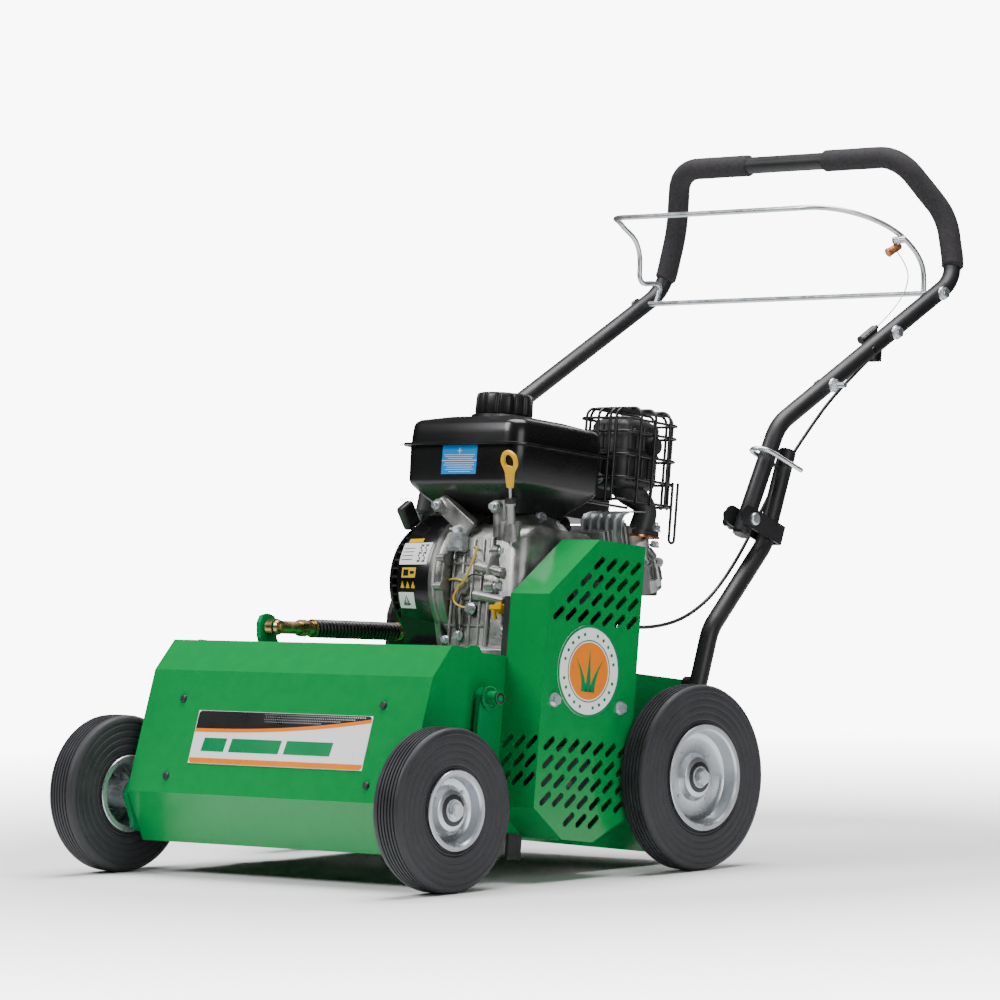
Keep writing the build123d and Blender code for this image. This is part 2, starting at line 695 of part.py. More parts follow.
def handle_bolts():
    bolts = []
    for y, z, x1 in ((314, 581, 320), (448, 675.3, 304), (bail_y, bail_z - 1, 305)):
        shank = rod_x(y, z, 4, handle_x + tube_r - 0.5, x1)
        bolts.append(shank + rod_x(y, z, 7, handle_x + tube_r, handle_x + tube_r + 5))
    bolts.append(mirror(bolts[-1], about=Plane.YZ))
    return group(bolts) - upper_handle()


clamp_tilt = 15.0


def clamp_plane():
    """At the fold axis: local x runs across the machine, local y to the rear and square to the lower tube."""
    lean = radians(clamp_tilt)
    return Plane((handle_x, fold_y, fold_z), x_dir=(1, 0, 0), z_dir=(0, sin(lean), cos(lean)))


def clamp_brackets():
    def bracket():
        cheek = Pos(0, 25, 0) * Box(32.4, 78, 28) + Pos(0, -14, 0) * Rot(Y=90) * Cylinder(14, 32.4)
        cheek -= Pos(0, 17, 0) * Box(26.4, 94, 40)
        body = clamp_plane() * cheek
        body += clamp_plane() * Pos(0, 65.5, 0) * Box(32.4, 3, 28)
        body -= rod_x(fold_y, fold_z, 4, 240, 330)
        return body - lower_handle()
    return group(both_sides(bracket))


def clamp_bolts():
    def bolt():
        shank = rod_x(fold_y, fold_z, 4, 256, handle_x + 16.3)
        head = rod_x(fold_y, fold_z, 9, handle_x + 16.3, handle_x + 20.5)
        return shank + fillet(head.edges().filter_by(GeomType.CIRCLE).sort_by(Axis.X)[-1], 3)
    return group(both_sides(bolt))


def clamp_knob():
    knob = rod_x(fold_y, fold_z, 16, 252, 268.6)
    for k in range(5):
        a = radians(72 * k)
        knob -= rod_x(fold_y + 18 * cos(a), fold_z + 18 * sin(a), 5, 250, 270)
    return knob - rod_x(fold_y, fold_z, 4 + fit, 254, 270)


clip_y, clip_z = 195.0, 466.0


def lock_clip():
    """The wire clip that holds the upper tube to the lower one, open to the rear."""
    lean = radians(clamp_tilt)
    half = tube_r + 4.2
    def at(x, back):
        return (handle_x + x, clip_y + back * cos(lean), clip_z - back * sin(lean))
    return bent_rod([at(half, 58), at(half, -26), at(-half, -26), at(-half, 58)], [half - 1, half - 1], 3.5)


def bail():
    side = [(262, bail_y, bail_z), (262, bail_y, 794), (258, 489, 832), (240, 420, 850), (166, 371, 851)]
    route = side + mirrored_points(side)
    bends = [42, 62, 30, 60]
    arch = bent_rod(route, bends + bends[::-1], bail_wire_r)
    return arch + rod_x(bail_y, bail_z, bail_wire_r, -279.5, 279.5)


# the control cable, from the belt guard's rear wall to the tab under the upper tube
cable_r = 2.6
cable_points = [(292, -101.4, 196), (291, -58, 198), (287, -10, 205), (280, 36, 217), (273, 78, 235),
                (266, 118, 259), (260, 156, 293), (258, 190, 336), (257, 219, 384), (257, 248, 430),
                (259, 279, 476), (262, 312, 520), (266, 346, 563), (270, 386, 602), (272, 422, 634)]


def cable_radii(points):
    """Each arc is as large as its two runs allow."""
    radii = []
    for a, b, c in zip(points, points[1:], points[2:]):
        u, v = Vector(*b) - Vector(*a), Vector(*c) - Vector(*b)
        radii.append(0.45 * min(u.length, v.length) / tan(radians(u.get_angle(v)) / 2))
    return radii


def control_cable():
    radii = cable_radii(cable_points)
    path = FilletPolyline(*cable_points, radius=radii)
    tube = sweep(Plane(path @ 0, z_dir=path % 0) * Circle(cable_r), path=path)
    print("cable radii", [round(r) for r in radii], "length", round(path.length, 1))
    print("cable volume", round(tube.volume), "section x length", round(3.14159 * cable_r ** 2 * path.length))
    return tube


def rubber_skirts():
    """The rear flap and the two short strips under the deck's sides."""
    skirts = [block(-255, 255, 103.5, 107.7, -95, 92)]
    for s in (-1, 1):
        a, b = sorted((s * deck_half, s * (deck_half + 5)))
        skirts.append(block(a, b, -262, -236, -132, -98))
    return group(skirts)


# -------------------------------- output -----------------------------------
nodes = {
    "deck_shell": deck_shell, "front_hood": front_hood, "hood_screws": hood_screws,
    "name_plates": name_plates, "belt_guard": belt_guard, "guard_bolts": guard_bolts,
    "guard_backplate": guard_backplate,
    "rubber_skirts": rubber_skirts, "rear_axle": rear_axle, "carriage_frame": carriage_frame,
    "front_axle_bolts": front_axle_bolts, "height_link_rod": height_link_rod,
    "height_link_spring": height_link_spring, "height_lever": height_lever, "lever_grip": lever_grip,
    "reel_rotor": reel_rotor, "reel_bearings": reel_bearings, "drive_belt": drive_belt,
    "idler_arm": idler_arm, "idler_pulley": idler_pulley, "engine_crankcase": engine_crankcase,
    "engine_cylinder": engine_cylinder, "blower_housing": blower_housing, "recoil_cover": recoil_cover,
    "recoil_grip": recoil_grip, "fuel_tank": fuel_tank, "fuel_cap": fuel_cap, "muffler": muffler,
    "muffler_guard": muffler_guard, "air_cleaner": air_cleaner, "dipstick_tube": dipstick_tube,
    "dipstick": dipstick, "crankshaft": crankshaft, "flywheel": flywheel, "throttle_lever": throttle_lever,
    "upper_handle": upper_handle, "foam_grips": foam_grips, "handle_bolts": handle_bolts,
    "clamp_brackets": clamp_brackets, "clamp_bolts": clamp_bolts, "bail": bail,
    "control_cable": control_cable,
}
for name, make in nodes.items():
    save(name, make())

save("reel_pulley", pulley(reel_y, reel_z, reel_pulley_r, reel_shaft_r))
for number, place in enumerate(flail_places(), start=1):
    save(f"flail_set_{number}", flail_set(*place))
for name, make in (("lower_handle", lower_handle), ("clamp_knob", clamp_knob), ("lock_clip", lock_clip)):
    left = make()
    save(f"{name}_left", left)
    save(f"{name}_right", mirror(left, about=Plane.YZ))
wheel_nodes()
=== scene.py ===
import json
from math import atan2, cos, hypot, pi, radians, sin, tan

import bmesh
import bpy
from mathutils import Matrix, Vector, noise


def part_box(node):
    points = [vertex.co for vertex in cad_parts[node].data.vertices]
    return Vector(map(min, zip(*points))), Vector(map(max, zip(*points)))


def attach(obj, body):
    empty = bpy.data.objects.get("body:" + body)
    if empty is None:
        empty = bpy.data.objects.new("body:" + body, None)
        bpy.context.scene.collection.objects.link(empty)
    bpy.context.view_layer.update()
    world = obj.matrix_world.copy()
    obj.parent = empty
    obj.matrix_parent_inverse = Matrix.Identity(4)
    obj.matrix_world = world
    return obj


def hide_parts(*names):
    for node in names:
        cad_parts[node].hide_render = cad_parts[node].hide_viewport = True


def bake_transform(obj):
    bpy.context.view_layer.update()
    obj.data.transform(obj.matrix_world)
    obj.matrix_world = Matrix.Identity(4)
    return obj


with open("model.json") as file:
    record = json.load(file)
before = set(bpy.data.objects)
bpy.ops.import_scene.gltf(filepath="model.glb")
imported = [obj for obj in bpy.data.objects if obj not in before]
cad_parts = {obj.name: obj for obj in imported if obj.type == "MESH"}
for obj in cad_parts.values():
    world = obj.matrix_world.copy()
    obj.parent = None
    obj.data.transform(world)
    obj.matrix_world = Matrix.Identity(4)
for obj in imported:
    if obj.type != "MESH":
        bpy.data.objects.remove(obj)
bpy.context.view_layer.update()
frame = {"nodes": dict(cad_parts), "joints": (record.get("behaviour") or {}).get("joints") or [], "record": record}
MM = 0.001


def joint_entry(name):
    """A joint's entry in the frame."""
    return next(j for j in frame["joints"] if j["name"] == name)


# ---------------------------------------------------------------------------
# The deck frame: its origin is the rear axle and it is pitched nose up. Lengths
# in it are in millimetres. The fuel cap's axis stands square to the deck.
# ---------------------------------------------------------------------------
deck_up = Vector(joint_entry("fuel_cap_turn")["axis"])
axle_low, axle_high = (Vector(corner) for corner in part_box("rear_axle"))
DECK = (Matrix.Translation((axle_low + axle_high) / 2)
        @ Matrix.Rotation(-atan2(deck_up.y, deck_up.z), 4, "X")
        @ Matrix.Scale(MM, 4))
UNDECK = DECK.inverted()


def joint_place(name):
    """A joint's point (y, z) in the deck frame."""
    p = UNDECK @ Vector(joint_entry(name)["pos_m"])
    return p.y, p.z


def deck_box(node):
    """A node's lowest and highest corners in the deck frame."""
    points = [UNDECK @ v.co for v in frame["nodes"][node].data.vertices]
    low = Vector([min(p[i] for p in points) for i in range(3)])
    high = Vector([max(p[i] for p in points) for i in range(3)])
    return low, high


# ---------------------------------- camera ----------------------------------
AZIMUTH, ELEVATION, ROLL = radians(43.06), radians(0.72), radians(-0.91)
CAMERA_DISTANCE = 7.211
LENS, SENSOR_WIDTH = 183.95, 36.0
AIM = Vector((0.0056, -0.0777, 0.5062))


def add_camera():
    """The photograph's viewpoint: almost level, through a long lens, with a slight roll."""
    back = Vector((sin(AZIMUTH) * cos(ELEVATION), -cos(AZIMUTH) * cos(ELEVATION), sin(ELEVATION)))
    side = (-back).cross(Vector((0, 0, 1))).normalized()
    up = side.cross(-back)
    side, up = side * cos(ROLL) + up * sin(ROLL), up * cos(ROLL) - side * sin(ROLL)
    data = bpy.data.cameras.new("camera")
    data.lens, data.sensor_width = LENS, SENSOR_WIDTH
    data.clip_end = 60.0
    camera = bpy.data.objects.new("camera", data)
    bpy.context.collection.objects.link(camera)
    turn = Matrix((side, up, back)).transposed().to_4x4()
    camera.matrix_world = Matrix.Translation(AIM + back * CAMERA_DISTANCE) @ turn
    bpy.context.scene.camera = camera


# -------------------------------- materials ---------------------------------
def node_tree(name):
    """A new material with its tree, its shader and the object's own coordinates."""
    material = bpy.data.materials.new(name)
    material.use_nodes = True
    tree = material.node_tree
    shader = tree.nodes["Principled BSDF"]
    place = tree.nodes.new("ShaderNodeTexCoord").outputs["Object"]
    return material, tree, shader, place


def noise_node(tree, place, scale, detail, stretch=None):
    """A noise texture's value, its coordinates scaled by stretch if that is given."""
    if stretch:
        mapping = tree.nodes.new("ShaderNodeMapping")
        mapping.inputs["Scale"].default_value = stretch
        tree.links.new(place, mapping.inputs["Vector"])
        place = mapping.outputs["Vector"]
    texture = tree.nodes.new("ShaderNodeTexNoise")
    texture.inputs["Scale"].default_value = scale
    texture.inputs["Detail"].default_value = detail
    tree.links.new(place, texture.inputs["Vector"])
    return texture.outputs["Fac"]


def ranged(tree, value, low, high, start=0.3, end=0.7):
    """A value's run from start to end, mapped to low and high."""
    span = tree.nodes.new("ShaderNodeMapRange")
    span.inputs["From Min"].default_value, span.inputs["From Max"].default_value = start, end
    span.inputs["To Min"].default_value, span.inputs["To Max"].default_value = low, high
    tree.links.new(value, span.inputs["Value"])
    return span.outputs["Result"]


def two_tone(tree, value, dark, light):
    """A colour between dark and light, by a noise value."""
    ramp = tree.nodes.new("ShaderNodeValToRGB")
    ramp.color_ramp.elements[0].position, ramp.color_ramp.elements[0].color = 0.3, (*dark, 1)
    ramp.color_ramp.elements[1].position, ramp.color_ramp.elements[1].color = 0.7, (*light, 1)
    tree.links.new(value, ramp.inputs["Fac"])
    return ramp.outputs["Color"]


FINISHES = {}


def surface(name, colour, rough, metal=0.0, grain=900.0, bump=0.15, depth=0.0002, tone=0.12, patch=18.0,
            coat=0.0, stretch=None, specular=0.5):
    """Adds a finish with an uneven tone, an uneven gloss and a fine grain."""
    material, tree, shader, place = node_tree(name)
    dark = tuple(c * (1 - tone) for c in colour)
    light = tuple(min(1.0, c * (1 + tone)) for c in colour)
    broad = noise_node(tree, place, patch, 4.0)
    fine = noise_node(tree, place, grain, 2.0, stretch)
    tree.links.new(two_tone(tree, broad, dark, light), shader.inputs["Base Color"])
    tree.links.new(ranged(tree, broad, *rough), shader.inputs["Roughness"])
    shader.inputs["Metallic"].default_value = metal
    shader.inputs["Coat Weight"].default_value = coat
    shader.inputs["Coat Roughness"].default_value = 0.12
    shader.inputs["Specular IOR Level"].default_value = specular
    relief = tree.nodes.new("ShaderNodeBump")
    relief.inputs["Strength"].default_value = bump
    relief.inputs["Distance"].default_value = depth
    tree.links.new(fine, relief.inputs["Height"])
    tree.links.new(relief.outputs["Normal"], shader.inputs["Normal"])
    FINISHES[name] = material


GREEN = (0.0, 0.245, 0.055)
surface("green_paint", GREEN, (0.13, 0.20), grain=300, bump=0.05, depth=0.0001, tone=0.03,
        patch=60, specular=0.35)
surface("carriage_green", (0.0, 0.22, 0.06), (0.18, 0.28), grain=420, bump=0.1, specular=0.35)
surface("plate_print", (0.93, 0.94, 0.93), (0.25, 0.35), tone=0.02, bump=0.03, coat=0.1)
surface("black_paint", (0.017, 0.017, 0.019), (0.38, 0.5), grain=600, bump=0.08)
surface("zinc", (0.70, 0.74, 0.78), (0.24, 0.40), metal=0.82, bump=0.06, patch=60)
surface("yellow_zinc", (0.55, 0.42, 0.20), (0.22, 0.4), metal=1.0, tone=0.25, patch=80)
surface("steel", (0.42, 0.42, 0.43), (0.25, 0.45), metal=1.0, stretch=(1, 12, 12))
surface("spring_black", (0.012, 0.012, 0.013), (0.3, 0.45), coat=0.2)
surface("grip_rubber", (0.02, 0.02, 0.021), (0.5, 0.7), bump=0.3)
surface("foam", (0.036, 0.033, 0.037), (0.78, 0.95), grain=1500, bump=0.7, depth=0.0006, patch=220,
        tone=0.3, specular=0.3)
surface("tyre_rubber", (0.026, 0.027, 0.031), (0.45, 0.65), grain=700, bump=0.25, patch=30,
        tone=0.2, specular=0.4)
surface("rim_steel", (0.56, 0.59, 0.62), (0.24, 0.34), metal=0.8, patch=22, tone=0.07, bump=0.08)
surface("flap_rubber", (0.016, 0.016, 0.016), (0.5, 0.7), bump=0.2)
surface("belt_rubber", (0.02, 0.02, 0.02), (0.6, 0.8), bump=0.3)
surface("cable_sheath", (0.015, 0.015, 0.016), (0.35, 0.5), bump=0.15)
surface("engine_alloy", (0.36, 0.36, 0.35), (0.28, 0.48), metal=0.9, grain=420, bump=0.55,
        depth=0.0006, patch=34, tone=0.30)
surface("bright_sheet", (0.60, 0.62, 0.64), (0.3, 0.45), metal=0.6, grain=420, bump=0.2,
        patch=40, tone=0.15)
surface("cylinder_alloy", (0.5, 0.5, 0.5), (0.35, 0.55), metal=0.9, grain=700, bump=0.3,
        tone=0.18)
surface("shroud_black", (0.008, 0.008, 0.009), (0.2, 0.3), bump=0.05, coat=0.3)
surface("tank_black", (0.008, 0.008, 0.009), (0.24, 0.34), bump=0.06, patch=10, coat=0.1)
surface("cap_black", (0.014, 0.014, 0.015), (0.32, 0.46), bump=0.25)
surface("muffler_steel", (0.05, 0.05, 0.052), (0.4, 0.6), metal=0.5, bump=0.3, tone=0.3)
surface("cage_black", (0.012, 0.012, 0.012), (0.32, 0.45), coat=0.15)
surface("dip_yellow", (0.80, 0.45, 0.0), (0.28, 0.4), tone=0.06, bump=0.1)
surface("pulley_iron", (0.14, 0.14, 0.145), (0.4, 0.6), metal=0.8, bump=0.4)
surface("flail_steel", (0.30, 0.30, 0.31), (0.35, 0.5), metal=1.0, tone=0.25, patch=70)
surface("orange_print", (0.92, 0.22, 0.0), (0.25, 0.35), tone=0.04, bump=0.03, coat=0.3)
surface("green_print", (0.0, 0.22, 0.07), (0.25, 0.35), tone=0.04, bump=0.03, coat=0.3)
surface("black_print", (0.012, 0.012, 0.013), (0.25, 0.35), tone=0.1, bump=0.03, coat=0.3)
surface("blue_print", (0.0, 0.24, 0.66), (0.3, 0.4), tone=0.05, bump=0.03)
surface("yellow_print", (0.82, 0.52, 0.0), (0.3, 0.4), tone=0.05, bump=0.03)
surface("white_plastic", (0.80, 0.79, 0.74), (0.35, 0.5), tone=0.06, bump=0.1)
surface("copper", (0.72, 0.30, 0.14), (0.25, 0.4), metal=1.0, tone=0.2, patch=90)
surface("yellow_wire", (0.62, 0.44, 0.05), (0.4, 0.5), tone=0.1, bump=0.1)
surface("white_mark", (0.62, 0.64, 0.66), (0.4, 0.5), tone=0.1, bump=0.05)


# --------------------------------- pieces -----------------------------------
def add_piece(name, mesh_or_curve, finish, body):
    """An object that rides a body; its slot is its finish's."""
    piece = bpy.data.objects.new(name, mesh_or_curve)
    bpy.context.collection.objects.link(piece)
    mesh_or_curve.materials.append(FINISHES[finish])
    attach(piece, body)
    return piece


def mesh_piece(name, build, finish, body="chassis", bevel=0.0, smooth=35.0):
    """A mesh that build(bm) draws in the deck frame, in millimetres, stored in metres in the row frame."""
    bm = bmesh.new()
    build(bm)
    bmesh.ops.transform(bm, matrix=DECK, verts=bm.verts)
    bmesh.ops.recalc_face_normals(bm, faces=bm.faces)
    if bevel:
        sharp = [e for e in bm.edges if len(e.link_faces) == 2 and e.calc_face_angle() > radians(30)]
        bmesh.ops.bevel(bm, geom=sharp, offset=bevel * MM, segments=2, affect="EDGES", clamp_overlap=True)
    for edge in bm.edges:
        edge.smooth = len(edge.link_faces) == 2 and edge.calc_face_angle() < radians(smooth)
    for face in bm.faces:
        face.smooth = True
    mesh = bpy.data.meshes.new(name)
    bm.to_mesh(mesh)
    bm.free()
    return add_piece(name, mesh, finish, body)


def bridge(bm, here, there):
    """Faces between two closed loops of vertices."""
    for i in range(len(here)):
        j = (i + 1) % len(here)
        bm.faces.new((here[i], here[j], there[j], there[i]))


def skin(bm, loops):
    """A closed body through loops of points, with the first and last filled."""
    loops = [[bm.verts.new(point) for point in loop] for loop in loops]
    for here, there in zip(loops, loops[1:]):
        bridge(bm, here, there)
    bm.faces.new(loops[0][::-1])
    bm.faces.new(loops[-1])


def hoop(bm, loops):
    """A closed body through loops of points, with the last joined to the first."""
    loops = [[bm.verts.new(point) for point in loop] for loop in loops]
    for here, there in zip(loops, loops[1:] + loops[:1]):
        bridge(bm, here, there)


def circle(steps):
    """Even angles round a circle."""
    return [2 * pi * i / steps for i in range(steps)]


def polar(y, z, r, angle):
    """The (y, z) of a point round a line along X."""
    return y + r * cos(angle), z + r * sin(angle)


def turned(bm, profile, y, z, steps=96):
    """A closed (x, radius) outline turned about a line along X."""
    hoop(bm, [[(x, *polar(y, z, r, a)) for x, r in profile] for a in circle(steps)])


def rod(bm, start, end, r, r_end=None, sides=32):
    """A round rod, or a cone, between two points."""
    start, end = Vector(start), Vector(end)
    turn = (end - start).to_track_quat("Z", "Y").to_matrix().to_4x4()
    bmesh.ops.create_cone(bm, cap_ends=True, segments=sides, radius1=r, radius2=r if r_end is None else r_end,
                          depth=(end - start).length, matrix=Matrix.Translation((start + end) / 2) @ turn)


def rod_x(bm, y, z, r, x0, x1, r_end=None, sides=32):
    """A rod along X."""
    rod(bm, (x0, y, z), (x1, y, z), r, r_end, sides)


def block(bm, x0, x1, y0, y1, z0, z1):
    """A box between two corners."""
    size = Matrix.Diagonal((x1 - x0, y1 - y0, z1 - z0, 1))
    bmesh.ops.create_cube(bm, matrix=Matrix.Translation(((x0 + x1) / 2, (y0 + y1) / 2, (z0 + z1) / 2)) @ size)


def plate(bm, outline, x0, x1):
    """A (y, z) outline given a thickness along X."""
    skin(bm, [[(x, y, z) for y, z in outline] for x in (x0, x1)])


def hex_bolt(bm, base, out, size, height):
    """A flanged hex head that stands on base and faces out."""
    base, out = Vector(base), Vector(out).normalized()
    rod(bm, base, base + out * 1.6, size * 1.25, size * 1.2)
    rod(bm, base + out * 1.6, base + out * (1.6 + height), size, size, sides=6)
    rod(bm, base + out * (1.6 + height), base + out * (2.3 + height), size * 0.8, size * 0.7)


def wire(name, points, r, finish, body="chassis"):
    """A round wire: a NURBS curve with the points as its control points, in the deck frame."""
    curve = bpy.data.curves.new(name, "CURVE")
    curve.dimensions = "3D"
    curve.bevel_depth = r * MM
    curve.bevel_resolution = 4
    curve.use_fill_caps = True
    spline = curve.splines.new("NURBS")
    spline.points.add(len(points) - 1)
    for point, place in zip(spline.points, points):
        point.co = (*(DECK @ Vector(place)), 1)
    spline.order_u = 3
    spline.use_endpoint_u = True
    spline.resolution_u = 8
    return add_piece(name, curve, finish, body)


def evaluated_mesh(line):
    """A curve object's evaluated mesh; the object itself is removed."""
    mesh = bpy.data.meshes.new_from_object(line.evaluated_get(bpy.context.evaluated_depsgraph_get()))
    bpy.data.objects.remove(line, do_unlink=True)
    return mesh


def curve_mesh(name, points, r, finish):
    """A wire's skin as a mesh that stands alone."""
    mesh = evaluated_mesh(wire(name + "_line", points, r, finish))
    for polygon in mesh.polygons:
        polygon.use_smooth = True
    piece = bpy.data.objects.new(name, mesh)
    bpy.context.collection.objects.link(piece)
    return piece


def paint_cad():
    """Every CAD node that shows gets its slot's finish."""
    slots = {s["node"]: s["material_slot"] for s in frame["record"]["subparts"]}
    for node, obj in frame["nodes"].items():
        if not obj.material_slots:
            obj.data.materials.append(None)
        for material_slot in obj.material_slots:
            material_slot.material = FINISHES[slots[node]]


# --------------------------------- wheels -----------------------------------
WHEEL_LOOKS = {
    "front": dict(bead_drop=3.8, grooves=6, dish=13, valve_angle=160, rivet_spread=36),
    "rear": dict(bead_drop=4.1, grooves=5, dish=17, valve_angle=200, rivet_spread=40),
}


def groove_profile(x_in, x_out, r, bead, grooves):
    """A tyre's outline: ribbed tread, rounded shoulders, ringed sidewalls."""
    shoulder, bead_width = 9.0, 8
    rise = r - shoulder - bead - 12
    rows = [(4.5, bead), (2.2, bead + 3), (2.6, bead + 5), (0.8, bead + 8), (1.5, bead + 9.5)]
    for i in range(4):
        level = bead + 12 + rise * i / 4
        rows += [(0.15, level), (0.15, level + rise / 8), (0.8, level + rise / 8 + 0.8),
                 (0.8, level + rise / 4 - 0.9)]
    rows += [(0.3, r - shoulder), (1.0, r - 5.2), (3.0, r - 2.4), (6.0, r - 0.9)]
    points = [(x_in + depth, level) for depth, level in rows]
    middle, half = (x_in + x_out) / 2, (x_out - x_in) / 2
    start, end = x_in + bead_width, x_out - bead_width
    pitch = (end - start) / grooves
    for i in range(grooves):
        a = start + pitch * i
        top = min(r, r - 0.7 * abs((a + pitch / 2 - middle) / half))
        points += [(a + pitch * 0.10, top), (a + pitch * 0.62, top)]
        points += [(a + pitch * 0.70, r - 3.2), (a + pitch * 0.94, r - 3.2)]
    points += [(end, r - 0.7)]
    points += [(x_out - depth, level) for depth, level in reversed(rows)]
    return points + [(end, bead - 0.2), (start, bead - 0.2)]


def rim_parts(bm, mid, half, lip, bead, y, z, hub_in, sign, foot):
    """The stamped wheel: rolled lips, drop centre, dished web with a hub ring."""
    back, out = mid - half, mid + half
    barrel = [(back - 3, bead - 4), (back - 3.2, lip - 1), (back - 2.2, lip), (back - 0.6, lip - 0.8),
              (back + 1.2, bead), (out - 1.2, bead), (out + 0.6, lip - 0.8), (out + 2.2, lip),
              (out + 3.2, lip - 1), (out + 3.0, bead - 2), (out + 0.5, bead - 4.5), (out - 6, bead - 5.5),
              (out - 12, bead - 8), (back + 6, bead - 8), (back + 1, bead - 5)]
    web = [(foot + 2, bead - 7), (foot - 1, bead - 11), (foot - 2, bead - 16), (foot - 1, 33),
           (foot + 3, 29.5), (foot + 7, 27.5), (foot + 8.5, 25), (foot + 8.5, 15), (foot + 6, 15),
           (foot + 6, 24), (foot, 28), (foot - 4, 33), (foot - 5, bead - 14), (foot - 4, bead - 8)]
    for profile in (barrel, web):
        turned(bm, [(sign * x, r) for x, r in profile], y, z)
    rod_x(bm, y, z, 20.4, *sorted((sign * hub_in, sign * (foot - 2))))


def wheel(where, side):
    """One wheel's tyre and rim, with its bearing ring, lock nut and valve."""
    look = WHEEL_LOOKS[where]
    name = f"{where}_{side}"
    sign = 1 if side == "left" else -1
    body = f"{name}_wheel"
    low, high = deck_box(f"{name}_tyre")
    y, z = (low.y + high.y) / 2, (low.z + high.z) / 2
    r = (high.y - low.y) / 2
    x_in, x_out = sorted((abs(low.x), abs(high.x)))
    rim_low, rim_high = deck_box(f"{name}_rim")
    lip = (rim_high.y - rim_low.y) / 2
    hub_in = min(abs(rim_low.x), abs(rim_high.x))
    bead = lip - look["bead_drop"]
    mid, half = (x_in + x_out) / 2, (x_out - x_in) / 2
    foot = x_out - look["dish"]

    def tyre(bm):
        profile = groove_profile(x_in, x_out, r, bead, look["grooves"])
        turned(bm, [(sign * x, level) for x, level in profile], y, z, 128)

    tread = mesh_piece(f"{name}_tread", tyre, "tyre_rubber", body=body, smooth=28)
    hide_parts(f"{name}_tyre")

    def stud(bm, x, spread, degrees, r_low, r_high, height, sides=32):
        """A low round boss on the wheel's disc."""
        spot = polar(y, z, spread, radians(degrees))
        rod(bm, (sign * x, *spot), (sign * (x + height), *spot), r_low, r_high, sides)

    def rim(bm):
        rim_parts(bm, mid, half, lip, bead, y, z, hub_in, sign, foot)
        stud(bm, foot - 0.5, bead - 20, look["valve_angle"], 5.5, 5.0, 2.0)
        for degrees in (45, 135, 225, 315):
            stud(bm, foot - 1.5, look["rivet_spread"], degrees, 3.2, 2.6, 1.6, 20)

    disc = mesh_piece(f"{name}_rim_disc", rim, "rim_steel", body=body, smooth=32)
    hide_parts(f"{name}_rim")

    def bearing(bm):
        profile = ((4, 9), (9.2, 9), (9.8, 11), (9.8, 19), (9.0, 21), (4, 21))
        turned(bm, [(sign * (foot + out), level) for out, level in profile], y, z, 48)

    mesh_piece(f"{name}_bearing", bearing, "black_paint", body=body, smooth=40)

    def nut(bm):
        base = foot + 9.6
        for start, end, r_low, r_high, sides in ((0, 1.8, 15, 14.4, 32), (1.8, 8.5, 11.2, 11.2, 6),
                                                 (8.5, 10.3, 9.0, 8.4, 32)):
            rod_x(bm, y, z, r_low, sign * (base + start), sign * (base + end), r_high, sides)

    owner = "carriage" if where == "front" else "chassis"
    mesh_piece(f"{name}_lock_nut", nut, "zinc", body=owner, bevel=0.4, smooth=30)


# --------------------------------- labels -----------------------------------
HOOD_TOP = (-431.6, 97.2)
HOOD_LOW = (-465.8, -73.9)
HOOD_RUN = hypot(HOOD_LOW[0] - HOOD_TOP[0], HOOD_LOW[1] - HOOD_TOP[1])


def on_hood(x, s, lift):
    """A point of the hood's front panel: X, the distance below its upper crease, and the lift off it."""
    dy, dz = (HOOD_LOW[0] - HOOD_TOP[0]) / HOOD_RUN, (HOOD_LOW[1] - HOOD_TOP[1]) / HOOD_RUN
    return (x, HOOD_TOP[0] + dy * s + dz * lift, HOOD_TOP[1] + dz * s - dy * lift)


def hood_print(bm, outline, low, high):
    """A thin print on the hood's front panel, between two heights off it."""
    skin(bm, [[on_hood(x, s, lift) for x, s in outline] for lift in (low, high)])


def hood_label():
    """A plain decal: a dotted black band, orange stripes and a pale field with green bars."""
    x0, x1, s0, s1 = -158.0, 174.0, 57.0, 131.0
    count = 24
    xs = [x0 + (x1 - x0) * i / count for i in range(count + 1)]

    def crest(x, shift):
        """The upper edge of the stripe, which rises to the operator's left."""
        t = (x - x0) / (x1 - x0)
        return s0 + shift + 25 - 21 * t ** 2.2

    def corner(x, s, turn):
        """Points of a rounded corner whose two sides meet at x, s."""
        across, down = (6 if x == x0 else -6), (6 if s == s0 else -6)
        arc = [(x + across * (1 - sin(a)), s + down * (1 - cos(a))) for a in (0, 0.4, 0.8, 1.2, pi / 2)]
        return arc if turn else arc[::-1]

    def decal(name, outlines, low, high, finish):
        """One colour of the label."""
        def build(bm):
            for outline in outlines:
                hood_print(bm, outline, low, high)

        mesh_piece(f"hood_label_{name}", build, finish)

    upper = corner(x0, s0, False) + corner(x1, s0, True)
    lower = corner(x1, s1, False) + corner(x0, s1, True)
    edges = {shift: [(x, crest(x, shift)) for x in xs] for shift in (0.0, 0.4, 5.0)}
    decal("black", [upper + edges[0.4][::-1]], 0.8, 1.0, "black_print")
    decal("stripe", [edges[0.0] + edges[5.0][::-1]], 0.8, 1.1, "orange_print")
    decal("foot", [[(x0, s1 - 7.5), (x1, s1 - 7.5)] + lower], 0.8, 1.1, "orange_print")
    decal("bars", [[(left, s0 + 38), (right, s0 + 38), (right - 3, s0 + 57), (left - 3, s0 + 57)]
                   for left, right in ((-136, -92), (-82, 14), (24, 112))], 0.8, 1.15, "green_print")
    dots = []
    for row in range(4):
        for i in range(46):
            x = x0 + 130 + 4.2 * i + 2.1 * (row % 2)
            s = s0 + 2.4 + 3.4 * row
            size = 0.6 + 0.7 * i / 46
            if s < crest(x, -2.0):
                dots.append([(x - size, s), (x, s - size), (x + size, s), (x, s + size)])
    decal("dots", dots, 1.0, 1.1, "white_mark")


